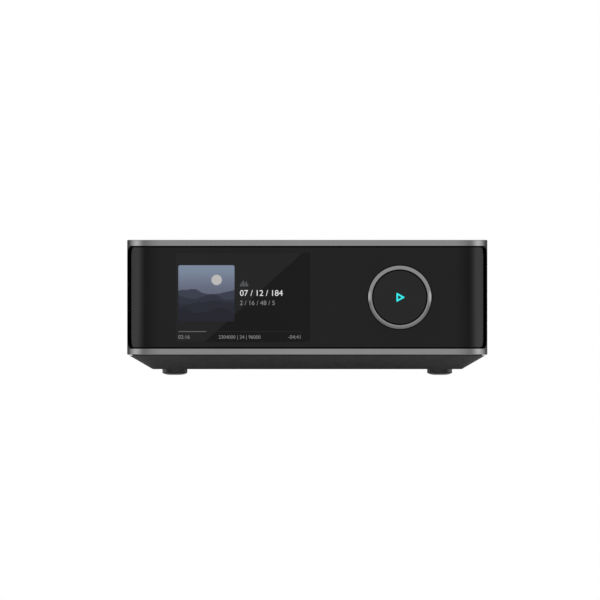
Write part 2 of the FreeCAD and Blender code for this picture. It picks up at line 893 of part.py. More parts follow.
def play_button():
    """Cap with a stem that slides in the sleeve."""
    face_y = ring_front_y + cap_recess
    back_y = face_y + cap_thickness
    cap_radius = ring_radius - ring_bevel - ring_face - cap_gap
    head_y = face_y + icon_depth
    pocket = guide_head_radius + glue_line
    cap = turned_y(ring_x, front_centre_z, [
        (0, face_y),
        (cap_radius - cap_edge, face_y),
        (cap_radius, face_y + cap_edge),
        (cap_radius, back_y),
        (sleeve_bore - running_clearance, back_y),
        (sleeve_bore - running_clearance, stem_end_y()),
        (0, stem_end_y()),
    ])
    room = rod_y(ring_x, front_centre_z, guide_rod_radius + glue_line, head_y, stem_end_y())
    head_room = rod_y(ring_x, front_centre_z, pocket, head_y, head_y + guide_head_thickness)
    return without(cap, [room, head_room, icon_prism(glue_line, face_y, head_y)])


def triangle_points(grow, y):
    """Corners of a triangle that points right, moved outwards by grow on every side."""
    left = ring_x + icon_shift - icon_width / 2
    tip = left + icon_width
    half = icon_height / 2
    slope = math.hypot(icon_width, half)
    tip_grow = grow * slope / half
    left_x = left - grow
    tip_x = tip + tip_grow
    left_half = (tip_x - left_x) * half / icon_width
    z = front_centre_z
    return [V(left_x, y, z - left_half), V(tip_x, y, z), V(left_x, y, z + left_half)]


def triangle_prism(grow, y0, y1, rounding):
    """Triangular prism along Y with softened corners."""
    points = triangle_points(grow, y0)
    prism = Part.Face(Part.makePolygon(points + points[:1])).extrude(V(0, y1 - y0, 0))
    return prism.makeFillet(rounding, edges_along(prism, V(0, 1, 0)))


def icon_prism(grow, y0, y1):
    """Outlined triangle along Y, grown on its outer and inner side."""
    outer = triangle_prism(grow, y0, y1, icon_corner + grow)
    inner = triangle_prism(-icon_stroke - grow, y0, y1, icon_corner / 2)
    return outer.cut(inner)


def play_light_guide():
    """Clear rod in the stem with a head that ends in the lit outline."""
    face_y = ring_front_y + cap_recess
    head_y = face_y + icon_depth
    rod = rod_y(ring_x, front_centre_z, guide_rod_radius, head_y, stem_end_y())
    head = rod_y(ring_x, front_centre_z, guide_head_radius, head_y, head_y + guide_head_thickness)
    return fused([head, rod, icon_prism(0, face_y, head_y)])


def control_board():
    """Upright board behind the ring, with the connector of its flat cable on its back."""
    board_y = control_board_y()
    back_y = board_y + board_thickness
    board = slab(ring_x, control_board_size, board_y, back_y, front_centre_z, control_board_size)
    holes = [rod_y(x, z, small_screw_radius + slip, board_y, back_y) for x, z in control_places()]
    return without(board, holes)


def tact_switch(x, z, back_y, direction):
    """Square push switch with a round plunger; direction is -1 towards the front, 1 towards the back."""
    front = back_y + direction * switch_height
    tip = front + direction * plunger_height
    body = slab(x, switch_size, min(back_y, front), max(back_y, front), z, switch_size)
    return body.fuse(rod_y(x, z, plunger_radius, min(front, tip), max(front, tip)))


def setup_switch_y():
    """Rear face of the setup button's switch, at its seat on the board's riser."""
    return panel_inner_y - switch_height - plunger_height - setup_travel - slip - board_rear_gap


def tact_switches():
    """Switches behind the cap and behind the setup button."""
    z = main_top_z + setup_rise
    front_switch = tact_switch(ring_x, front_centre_z, control_board_y(), -1)
    rear_switch = tact_switch(setup_x, z, setup_switch_y(), 1)
    riser = block(
        setup_x - switch_size / 2, setup_x + switch_size / 2,
        setup_switch_y() - switch_height, setup_switch_y(), main_top_z, z + switch_size / 2,
    )
    return [front_switch, rear_switch.fuse(riser)]


def setup_button():
    """Small button in the rear panel, kept in by its inner flange."""
    z = main_top_z + setup_rise
    tip_y = setup_switch_y() + switch_height + plunger_height + setup_travel + slip
    shank = rod_y(setup_x, z, setup_radius, tip_y, panel_y)
    flange = rod_y(setup_x, z, setup_flange_radius, tip_y, panel_inner_y - slip)
    return shank.fuse(flange)


def lower_board_places(side):
    """Axes of a lower board's fixings: outer front, outer middle, outer rear, inner front, inner rear."""
    outer = side * (board_reach - board_hole_inset)
    inner = side * (board_half_gap + board_hole_inset)
    front = board_front_y + board_hole_inset
    middle = board_middle_y + main_board_front + board_hole_inset
    back = board_back_y - board_hole_inset
    return [(outer, front), (outer, middle), (outer, back), (inner, front), (inner, back)]


def tall_places():
    """Axes of the standoffs that carry the main board."""
    return [lower_board_places(side)[spot] for side in (-1, 1) for spot in (1, 2)]


def lower_board(side):
    """Board on one side of the case's lower level."""
    near = side * board_half_gap
    far = side * board_reach
    x0, x1 = sorted((near, far))
    board = block(x0, x1, board_front_y, board_back_y, lower_board_z, lower_top_z)
    spots = lower_board_places(side)
    holes = [rod_z(x, y, case_screw_radius + slip, lower_board_z, lower_top_z) for x, y in spots]
    return without(board, holes)


def main_board():
    """Upper board that carries the sockets."""
    back = panel_inner_y - board_rear_gap
    front = board_middle_y + main_board_front
    board = block(-board_reach, board_reach, front, back, main_board_z, main_top_z)
    holes = [rod_z(x, y, case_screw_radius + slip, main_board_z, main_top_z) for x, y in tall_places()]
    return without(board, holes)


def standoff(x, y, z0, z1):
    """Threaded spacer under a board."""
    spacer = rod_z(x, y, standoff_radius, z0, z1)
    return spacer.cut(rod_z(x, y, case_screw_radius + running_clearance, z0, z1))


def standoffs():
    """Spacers under the lower boards and under the main board."""
    spacers = []
    for side in (-1, 1):
        spacers += [standoff(x, y, floor_z, lower_board_z) for x, y in lower_board_places(side)]
    spacers += [standoff(x, y, lower_top_z, main_board_z) for x, y in tall_places()]
    return spacers


def board_screw(x, y, z):
    """Screw from above whose head rests on z."""
    head = rod_z(x, y, board_screw_head_radius, z, z + board_screw_head_height)
    return head.fuse(rod_z(x, y, case_screw_radius, z - short_standoff, z))


def board_screws():
    """Screws of the three boards."""
    tall = tall_places()
    screws = [board_screw(x, y, main_top_z) for x, y in tall]
    for side in (-1, 1):
        spots = [spot for spot in lower_board_places(side) if spot not in tall]
        screws += [board_screw(x, y, lower_top_z) for x, y in spots]
    return screws


def insulating_sheet():
    """Film on the pan's floor under the power board."""
    top = floor_z + sheet_thickness
    sheet = block(board_half_gap, board_reach, board_front_y, board_back_y, floor_z, top)
    spots = lower_board_places(1)
    holes = [rod_z(x, y, standoff_radius + slip, floor_z, top) for x, y in spots]
    feet_room = [rod_z(x, y, foot_head_radius + slip, floor_z, top) for x, y in foot_places() if x > 0]
    return without(sheet, holes + feet_room)


def board_middle(side):
    """Middle of a lower board in X."""
    return side * (board_half_gap + board_reach) / 2


def transformer():
    """Core and coil former of the power supply's transformer."""
    x = board_middle(1) + transformer_place[0]
    y = board_middle_y + transformer_place[1]
    width, depth, height = transformer_size
    core = standing_box(x, y, lower_top_z, (width, depth * 0.5, height))
    former = standing_box(x, y, lower_top_z, (width * 0.62, depth, height * 0.88))
    return fused([core, former])


def bulk_capacitors():
    """Two large capacitors with a pressed groove near the base."""
    cans = []
    y = board_middle_y + bulk_capacitor_y
    low = lower_top_z + can_groove_rise
    high = low + can_groove_width
    for side in (-1, 1):
        x = board_middle(1) + side * (bulk_capacitor_radius + bulk_capacitor_gap / 2)
        can = rod_z(x, y, bulk_capacitor_radius, lower_top_z, lower_top_z + bulk_capacitor_height)
        groove = rod_z(x, y, bulk_capacitor_radius + can_groove_width, low, high)
        groove = groove.cut(rod_z(x, y, bulk_capacitor_radius - can_groove_depth, low, high))
        cans.append(can.cut(groove))
    return cans


def filter_choke():
    """Mains filter choke: a square core with two windings."""
    x = board_middle(1) + choke_place[0]
    y = board_middle_y + choke_place[1]
    width, depth, height = choke_size
    core = standing_box(x, y, lower_top_z, choke_size)
    core = core.cut(slab(x, width * 0.45, y - depth, y + depth, lower_top_z + height / 2, height * 0.5))
    low = lower_top_z + height * 0.25
    high = lower_top_z + height * 0.75
    windings = [rod_z(x + side * width * 0.36, y, depth * 0.55, low, high) for side in (-1, 1)]
    return fused([core] + windings)


def mains_fuse():
    """Glass fuse between two clips on the power board."""
    x = board_middle(1) + fuse_place[0]
    y = board_middle_y + fuse_place[1]
    z = lower_top_z + fuse_radius + fuse_clip
    body = rod_y(x, z, fuse_radius - 0.4, y - fuse_length / 2, y + fuse_length / 2)
    parts = [body]
    for end in (-1, 1):
        middle = y + end * (fuse_length - fuse_cap_length) / 2
        parts.append(rod_y(x, z, fuse_radius, middle - fuse_cap_length / 2, middle + fuse_cap_length / 2))
        front = middle - fuse_clip
        back = middle + fuse_clip
        parts.append(block(x - fuse_radius, x + fuse_radius, front, back, lower_top_z, z))
    return fused(parts)


def chip_places():
    """Middles of the two output chips."""
    x = board_middle(-1)
    return [(x + side * chip_size[0], board_middle_y + amp_y) for side in (-1, 1)]


def amp_heatsink():
    """Finned aluminium block on the output chips."""
    width, depth, height = heatsink_size
    x = board_middle(-1)
    y = board_middle_y + amp_y
    z = lower_top_z + chip_size[2]
    block_shape = standing_box(x, y, z, heatsink_size)
    pitch = (width - fin_thickness) / (fin_count - 1)
    gaps = []
    for index in range(fin_count - 1):
        left = x - width / 2 + fin_thickness + index * pitch
        right = left + pitch - fin_thickness
        gaps.append(block(left, right, y - depth, y + depth, z + heatsink_base, z + 2 * height))
    return without(block_shape, gaps)


def output_places():
    """Middles across the amplifier board of the output filter's parts."""
    first = board_middle(-1) - output_pitch * (output_parts - 1) / 2
    return [first + index * output_pitch for index in range(output_parts)]


def output_row(y, size):
    """One row of the output filter's parts across the amplifier board."""
    return [standing_box(x, board_middle_y + y, lower_top_z, size) for x in output_places()]


def signal_capacitors():
    """Row of small capacitors on the main board."""
    y = board_middle_y + signal_capacitor_y
    top = main_top_z + signal_capacitor_height
    return [rod_z(x, y, signal_capacitor_radius, main_top_z, top) for x in output_places()]


def shield_cans():
    """Screening cans over the processor and over the audio converter."""
    audio_can_x = audio_can_end_gap + audio_can_size[0] / 2 - board_reach
    cans = []
    for (x, y), size in (
        (processor_can_place, processor_can_size),
        ((audio_can_x, audio_can_y), audio_can_size),
    ):
        can = standing_box(x, board_middle_y + y, main_top_z, size)
        cans.append(can.makeFillet(can_corner, edges_along(can, V(0, 0, 1))))
    return cans


def wireless_module():
    """Radio module with its two aerial sockets."""
    x = board_reach - wireless_end_gap - wireless_size[0] / 2
    y = board_middle_y + wireless_y
    module = standing_box(x, y, main_top_z, wireless_size)
    top = main_top_z + wireless_size[2]
    radius = aerial_socket_radius
    sockets = [rod_z(x + side * aerial_socket_spread, y, radius, top, top + radius) for side in (-1, 1)]
    return fused([module] + sockets)


def antennas():
    """Aerial strips on the liner's inner sides, behind the plastic front."""
    thickness, depth, height = antenna_size
    inner = case_width / 2 - lens_inset - lens_thickness - bezel_thickness
    rear = front_y + opening_wrap + bezel_wrap
    flat_start = front_y + corner_radius
    strips = []
    for side in (-1, 1):
        x0, x1 = sorted((side * inner, side * (inner - thickness)))
        y0 = min(flat_start, rear - slip)
        z0 = front_centre_z - height / 2
        strips.append(block(x0, x1, y0, y0 + depth, z0, z0 + height))
    return strips


def display_flex():
    """Flat cable from the display module to the main board's front edge."""
    z = main_top_z + flex_thickness
    front = bracket_y()
    back = board_middle_y + main_board_front + board_hole_inset
    return block(display_x - flex_width / 2, display_x + flex_width / 2, front, back, main_top_z, z)


def rear_panel_holes():
    """Openings of the rear panel, each from its socket's size and a gap."""
    y0 = panel_inner_y - slip
    y1 = panel_y + slip
    grow = 2 * socket_gap
    holes = [rod_y(x, z, case_screw_radius + slip, y0, y1) for x, z in panel_screw_places()]
    holes += [rod_y(x, rca_z(), rca_collar() + socket_gap, y0, y1) for x in rca_x]
    holes += [rod_y(x, lower_row_z, neck_radius + socket_gap, y0, y1) for x in post_places()]
    for x, width, height in ((optical_x, optical_width, optical_height), (hdmi_x, hdmi_width, hdmi_height),
                             (usb_x, usb_width, usb_height), (ethernet_x, ethernet_width, ethernet_height)):
        holes.append(slab(x, width + grow, y0, y1, main_top_z + height / 2, height + grow))
    holes.append(rod_y(trigger_x, trigger_z(), trigger_radius + socket_gap, y0, y1))
    holes.append(rod_y(setup_x, main_top_z + setup_rise, setup_radius + socket_gap, y0, y1))
    holes.append(slab(inlet_x, inlet_width + grow, y0, y1, lower_row_z, inlet_height + grow))
    return holes


def rear_panel():
    """Plate in the rear window with an opening for each socket."""
    width, height = panel_size()
    gap = 2 * panel_gap
    plate = rounded_slab(
        0, width - gap, panel_inner_y, panel_y, front_centre_z, height - gap, panel_corner - panel_gap
    )
    return without(plate, rear_panel_holes())


def rca_z():
    """Height of the phono sockets' axes."""
    return main_top_z + rca_block_height / 2


def rca_collar():
    """Radius of a phono socket's collar in the panel."""
    return rca_radius + rca_collar_wall


def rca_jack(x):
    """Phono socket: block on the board, collar and barrel."""
    z = rca_z()
    back = panel_inner_y - rca_block_depth
    base = slab(x, rca_block_width, back, panel_inner_y - slip, z, rca_block_height)
    collar = rod_y(x, z, rca_collar(), back, panel_y + collar_proud)
    barrel = rod_y(x, z, rca_radius, panel_y, panel_y + rca_length)
    bore = rod_y(x, z, rca_bore, panel_y - rca_floor, panel_y + rca_length)
    return fused([base, collar, barrel]).cut(bore)


def rca_centre(x):
    """Insulating centre of a phono socket with the pin's hole."""
    back = panel_y - rca_floor
    front = panel_y + rca_length - rca_centre_recess
    return tube_y(x, rca_z(), rca_bore - glue_line, rca_pin_bore, back, front)


def optical_z():
    """Height of the optical socket's middle."""
    return main_top_z + optical_height / 2


def flap_axis():
    """Place of the flap's hinge line in Y and Z."""
    inner_top = optical_z() + optical_height / 2 - optical_wall
    return panel_y - flap_thickness, inner_top - flap_gap - flap_pin_radius


def optical_socket():
    """Housing with a square mouth and the pin holes of its flap."""
    z = optical_z()
    front = panel_y + socket_proud
    body = slab(optical_x, optical_width, panel_y - optical_depth, front, z, optical_height)
    mouth = slab(
        optical_x, optical_width - 2 * optical_wall, panel_y - optical_depth + optical_wall, front,
        z, optical_height - 2 * optical_wall,
    )
    axis_y, axis_z = flap_axis()
    reach = optical_width / 2 - optical_wall / 2
    pin_hole = Part.makeCylinder(
        flap_pin_radius + running_clearance, 2 * reach, V(optical_x - reach, axis_y, axis_z), V(1, 0, 0)
    )
    return without(body, [mouth, pin_hole])


def optical_flap():
    """Sprung door that hangs from its pin and swings inwards."""
    axis_y, axis_z = flap_axis()
    inner_width = optical_width - 2 * optical_wall
    inner_bottom = optical_z() - optical_height / 2 + optical_wall
    half = flap_thickness / 2
    width = inner_width - 2 * flap_gap
    left = optical_x - width / 2
    door = block(left, left + width, axis_y - half, axis_y + half, inner_bottom + flap_gap, axis_z)
    reach = optical_width / 2 - optical_wall / 2 - slip
    pin = Part.makeCylinder(flap_pin_radius, 2 * reach, V(optical_x - reach, axis_y, axis_z), V(1, 0, 0))
    return fused([door, pin])


def plug_shell(x, width, height, depth):
    """Folded metal shell of a flat socket that stands on the main board."""
    z = main_top_z + height / 2
    front = panel_y + socket_proud
    inner_width = width - 2 * plug_shell_wall
    inner_height = height - 2 * plug_shell_wall
    body = slab(x, width, panel_y - depth, front, z, height)
    body = body.makeFillet(plug_shell_wall, edges_along(body, V(0, 1, 0)))
    return body.cut(slab(x, inner_width, panel_y - depth + plug_shell_floor, front, z, inner_height))


def tongue(x, width, height, depth, tongue_height, lift):
    """Insulating tongue inside a flat socket."""
    z = main_top_z + height / 2 + lift
    tongue_width = width - 2 * plug_shell_wall - 2 * tongue_gap
    back = panel_y - depth + plug_shell_floor
    return slab(x, tongue_width, back, panel_y - tongue_gap, z, tongue_height)


def port_tongues():
    """Tongues of the display link and of the storage socket."""
    usb_lift = (usb_height - 2 * plug_shell_wall - usb_tongue_height) / 2 - plug_shell_wall
    return [
        tongue(hdmi_x, hdmi_width, hdmi_height, hdmi_depth, hdmi_tongue_height, 0),
        tongue(usb_x, usb_width, usb_height, usb_depth, usb_tongue_height, usb_lift),
    ]


def ethernet_socket():
    """Network socket with its stepped mouth."""
    z = main_top_z + ethernet_height / 2
    front = panel_y + socket_proud
    body = slab(ethernet_x, ethernet_width, panel_y - ethernet_depth, front, z, ethernet_height)
    port_bottom = main_top_z + 2 * ethernet_floor
    port_y = panel_y - ethernet_port_depth
    half = ethernet_port_width / 2
    port_top = port_bottom + ethernet_port_height
    port = block(ethernet_x - half, ethernet_x + half, port_y, front, port_bottom, port_top)
    latch = block(
        ethernet_x - half / 2, ethernet_x + half / 2, port_y + ethernet_port_depth / 2, front,
        main_top_z + ethernet_floor, port_bottom,
    )
    return without(body, [port, latch])


def trigger_z():
    """Height of the trigger socket's axis."""
    return main_top_z + trigger_body / 2


def trigger_jack():
    """Small round socket with a collar through the panel."""
    z = trigger_z()
    end = panel_y - trigger_depth
    front = panel_y + collar_proud
    body = slab(trigger_x, trigger_body, end - trigger_back_wall, panel_inner_y - slip, z, trigger_body)
    collar = rod_y(trigger_x, z, trigger_radius, end, front)
    return fused([body, collar]).cut(rod_y(trigger_x, z, trigger_bore, end, front))


def inlet_pin_places():
    """Middles of the inlet's two pins in X."""
    return [inlet_x + side * inlet_pin_pitch / 2 for side in (-1, 1)]


def mains_inlet():
    """Two-pin inlet: a moulded body with a figure-eight recess and a face plate."""
    z = lower_row_z
    front = panel_y + inlet_face_thickness
    body = slab(inlet_x, inlet_width, panel_y - inlet_depth, panel_y, z, inlet_height)
    face = rounded_slab(inlet_x, inlet_face_width, panel_y, front, z, inlet_face_height, inlet_face_corner)
    back = panel_y - inlet_cavity_depth
    recess = [rod_y(x, z, inlet_lobe_radius, back, front) for x in inlet_pin_places()]
    recess.append(slab(inlet_x, inlet_pin_pitch, back, front, z, inlet_neck_height))
    pin_room = inlet_pin_radius + glue_line
    pins = [rod_y(x, z, pin_room, panel_y - inlet_depth, back) for x in inlet_pin_places()]
    return without(body.fuse(face), recess + pins)


def inlet_pin(x):
    """Round contact pin with a blade that goes down to the power board."""
    z = lower_row_z
    tail_y = panel_y - inlet_depth - lug_thickness
    tip_y = panel_y - inlet_pin_setback
    nose_length = inlet_pin_radius / 2
    nose_y = tip_y - nose_length
    pin = rod_y(x, z, inlet_pin_radius, tail_y, nose_y)
    nose = Part.makeCone(inlet_pin_radius, inlet_pin_radius / 2, nose_length, V(x, nose_y, z), V(0, 1, 0))
    half = lug_width / 2
    blade = block(x - half, x + half, tail_y - lug_thickness, tail_y, lower_top_z, z + half)
    return fused([pin, nose, blade])


def post_places():
    """Middles of the binding posts in X."""
    return [post_first_x + index * post_pitch for index in range(post_count)]


def post_planes():
    """Planes along a post's axis: flange front, collar front, washer, cap and cap end."""
    flange_y = panel_y + flange_thickness
    collar_y = flange_y + post_collar_thickness
    washer_y = collar_y + post_play
    cap_y = washer_y + washer_thickness + post_play
    return flange_y, collar_y, washer_y, cap_y, cap_y + post_cap_length


def post_core(x):
    """Threaded stud with its collar, nut and solder lug, bored for a plug."""
    flange_y, collar_y, washer_y, cap_y, end_y = post_planes()
    z = lower_row_z
    stud_end = end_y - post_cap_wall - slip
    inner_y = panel_inner_y - panel_thickness
    nut_y = inner_y - nut_thickness
    lug_y = nut_y - lug_reach
    stud = rod_y(x, z, stud_radius, lug_y, stud_end)
    collar = rod_y(x, z, post_collar_radius, flange_y, collar_y)
    nut = rod_y(x, z, nut_radius, nut_y, inner_y)
    left = x - lug_width / 2
    right = x + lug_width / 2
    blade_y = board_back_y - lug_width
    strap = block(left, right, blade_y, lug_y + lug_thickness, z - lug_thickness, z)
    blade = block(left, right, blade_y, blade_y + lug_thickness, lower_top_z, z)
    bore = rod_y(x, z, post_bore, stud_end - post_bore_depth, stud_end)
    return fused([stud, collar, nut, strap, blade]).cut(bore)


def post_insulators():
    """Outer flanges with necks through the panel, and inner rings."""
    parts = []
    z = lower_row_z
    bore = stud_radius + running_clearance
    for x in post_places():
        outer = rod_y(x, z, flange_radius, panel_y, panel_y + flange_thickness)
        neck = rod_y(x, z, neck_radius, panel_inner_y, panel_y)
        whole = fused([outer, neck]).cut(rod_y(x, z, bore, panel_inner_y, panel_y + flange_thickness))
        parts.append(whole)
        parts.append(tube_y(x, z, flange_radius, bore, panel_inner_y - panel_thickness, panel_inner_y))
    return parts


def clamp_washer(x):
    """Loose washer between a post's collar and cap."""
    flange_y, collar_y, washer_y, cap_y, end_y = post_planes()
    bore = stud_radius + running_clearance
    return tube_y(x, lower_row_z, washer_radius, bore, washer_y, washer_y + washer_thickness)


def post_cap(x):
    """Fluted screw cap with a hole for a plug in its end."""
    flange_y, collar_y, washer_y, cap_y, end_y = post_planes()
    z = lower_row_z
    body = rod_y(x, z, post_cap_radius, cap_y, end_y)
    bore = rod_y(x, z, stud_radius + running_clearance, cap_y, end_y - post_cap_wall)
    mouth = rod_y(x, z, post_cap_mouth, end_y - post_cap_wall, end_y)
    flutes = []
    for index in range(post_flutes):
        angle = 2 * math.pi * (index + 0.5) / post_flutes
        reach = post_cap_radius + flute_radius / 2
        flute_x = x + reach * math.cos(angle)
        flute_z = z + reach * math.sin(angle)
        flutes.append(rod_y(flute_x, flute_z, flute_radius, cap_y + flute_radius, end_y))
    return without(body, [bore, mouth] + flutes)


def save_case():
    """Write the case and its fixings."""
    save("shell", [shell()])
    save("base_pan", [base_pan()])
    save("feet", [foot(x, y) for x, y in foot_places()])
    save("case_screws", case_screws())


def save_front():
    """Write the front, the display and the controls."""
    save("front_lens", [front_lens()])
    save("front_bezel", [front_bezel()])
    save("display_glass", [display_glass()])
    save("lcd_module", [lcd_module()])
    save("display_bracket", [display_bracket()])
    save("front_screws", front_screws())
    save("volume_ring", [volume_ring()])
    save("ring_carrier", [ring_carrier()])
    save("carrier_clip", [carrier_clip()])
    save("encoder_body", [encoder_body()])
    save("play_button", [play_button()])
    save("play_light_guide", [play_light_guide()])
    save("control_board", [control_board()])
    save("tact_switches", tact_switches())
    save("antennas", antennas())
    save("display_flex", [display_flex()])


def save_electronics():
    """Write the boards and what stands on them."""
    save("power_board", [lower_board(1)])
    save("amp_board", [lower_board(-1)])
    save("main_board", [main_board()])
    save("standoffs", standoffs())
    save("board_screws", board_screws())
    save("insulating_sheet", [insulating_sheet()])
    save("transformer", [transformer()])
    save("bulk_capacitors", bulk_capacitors())
    save("filter_choke", [filter_choke()])
    save("mains_fuse", [mains_fuse()])
    save("amp_chips", [standing_box(x, y, lower_top_z, chip_size) for x, y in chip_places()])
    save("amp_heatsink", [amp_heatsink()])
    save("output_inductors", output_row(inductor_y, inductor_size))
    save("film_capacitors", output_row(film_capacitor_y, film_capacitor_size))
    save("shield_cans", shield_cans())
    save("wireless_module", [wireless_module()])
    save("signal_capacitors", signal_capacitors())


def save_back():
    """Write the rear panel and its sockets."""
    save("rear_panel", [rear_panel()])
    save("rca_jacks", [rca_jack(x) for x in rca_x])
    save("rca_centres", [rca_centre(x) for x in rca_x])
    save("optical_socket", [optical_socket()])
    save("optical_flap", [optical_flap()])
    save("hdmi_socket", [plug_shell(hdmi_x, hdmi_width, hdmi_height, hdmi_depth)])
    save("usb_socket", [plug_shell(usb_x, usb_width, usb_height, usb_depth)])
    save("port_tongues", port_tongues())
    save("ethernet_socket", [ethernet_socket()])
    save("trigger_jack", [trigger_jack()])
    save("setup_button", [setup_button()])
    save("mains_inlet", [mains_inlet()])
    save("inlet_pins", [inlet_pin(x) for x in inlet_pin_places()])
    save("post_insulators", post_insulators())
    save("post_cores", [post_core(x) for x in post_places()])
    for index, x in enumerate(post_places()):
        save("clamp_washer_" + str(index + 1), [clamp_washer(x)])
        save("post_cap_" + str(index + 1), [post_cap(x)])


os.makedirs("parts", exist_ok=True)
save_case()
save_front()
save_electronics()
save_back()
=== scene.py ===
"""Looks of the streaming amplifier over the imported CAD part: finishes, display, ring, feet and contacts."""
import json
import logging
import math
from dataclasses import dataclass
from enum import Enum
from functools import cached_property, partialmethod
from typing import ClassVar, Iterable, Optional, Sequence, Union

import bmesh
import bpy
from mathutils import Matrix, Vector


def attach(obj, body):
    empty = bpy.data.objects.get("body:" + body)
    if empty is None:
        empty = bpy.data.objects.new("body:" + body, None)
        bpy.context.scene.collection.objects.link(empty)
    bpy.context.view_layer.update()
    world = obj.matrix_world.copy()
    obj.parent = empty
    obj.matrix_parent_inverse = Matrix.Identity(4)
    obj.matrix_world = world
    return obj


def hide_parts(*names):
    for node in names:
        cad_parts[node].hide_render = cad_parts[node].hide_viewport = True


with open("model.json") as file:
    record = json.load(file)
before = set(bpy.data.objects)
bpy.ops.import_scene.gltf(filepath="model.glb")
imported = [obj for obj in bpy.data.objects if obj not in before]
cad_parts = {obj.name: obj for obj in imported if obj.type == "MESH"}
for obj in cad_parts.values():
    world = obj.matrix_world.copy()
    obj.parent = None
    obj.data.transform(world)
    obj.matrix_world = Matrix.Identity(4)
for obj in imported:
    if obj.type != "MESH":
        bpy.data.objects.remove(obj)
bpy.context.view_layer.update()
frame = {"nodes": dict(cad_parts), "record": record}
LOG = logging.getLogger("amplifier")
# A millimetre in metres, and in millimetres the ring's axis in X and Z and how far marks lie over a face.
MM = 0.001
RING_AXIS = (51.4, 43.1)
LAY = 0.02

Colour = tuple[float, float, float]
Point = tuple[float, float, float]
Pair = tuple[float, float]
Outline = Sequence[Pair]
Piece = bpy.types.Object
Operand = Union["Link", float]


def shade(level: float) -> float:
    """Gives the linear light of an eight-bit screen level, by the screen's standard curve."""
    part = level / 255
    return part / 12.92 if part <= 0.04045 else ((part + 0.055) / 1.055) ** 2.4


def screen(red: float, green: float, blue: float) -> Colour:
    """Gives the linear colour of three eight-bit screen levels."""
    return shade(red), shade(green), shade(blue)


def metres(parts: Iterable[float]) -> list[float]:
    """Turns millimetres into metres."""
    return [part * MM for part in parts]


@dataclass(frozen=True)
class Link:
    """A node's output socket, with arithmetic that adds Math nodes."""

    tree: "Tree"
    socket: bpy.types.NodeSocket

    def math(self, operation: str, other: Operand = 0.0, flipped: bool = False) -> "Link":
        """Adds one Math node.

        Args:
            operation: the Math node's operation.
            other: the second value.
            flipped: whether the second value comes first.

        Returns:
            The result's socket.
        """
        first, second = (other, self) if flipped else (self, other)
        return self.tree.add("ShaderNodeMath", {"operation": operation}, {0: first, 1: second})[0]

    __add__ = __radd__ = partialmethod(math, "ADD")
    __sub__ = partialmethod(math, "SUBTRACT")
    __rsub__ = partialmethod(math, "SUBTRACT", flipped=True)
    __mul__ = __rmul__ = partialmethod(math, "MULTIPLY")
    __truediv__ = partialmethod(math, "DIVIDE")
    __lt__ = partialmethod(math, "LESS_THAN")
    __gt__ = partialmethod(math, "GREATER_THAN")
    __abs__ = partialmethod(math, "ABSOLUTE")
    sine = partialmethod(math, "SINE")

    def wave(self, pitch: float) -> "Link":
        """Gives a wave from -1 to 1 along this, with a pitch in metres."""
        return (self * (math.tau / pitch)).sine()

    def reach(self, other: "Link") -> "Link":
        """Gives the distance that this and a second one make at right angles."""
        return (self * self + other * other).math("SQRT")


Input = Union[Link, float, int, bool, str, tuple, list, bpy.types.Material]


@dataclass(frozen=True)
class Node:
    """A node's outputs, by name or number."""

    tree: "Tree"
    node: bpy.types.Node

    def __getitem__(self, key: Union[int, str]) -> Link:
        """Gives one output."""
        return Link(self.tree, self.node.outputs[key])


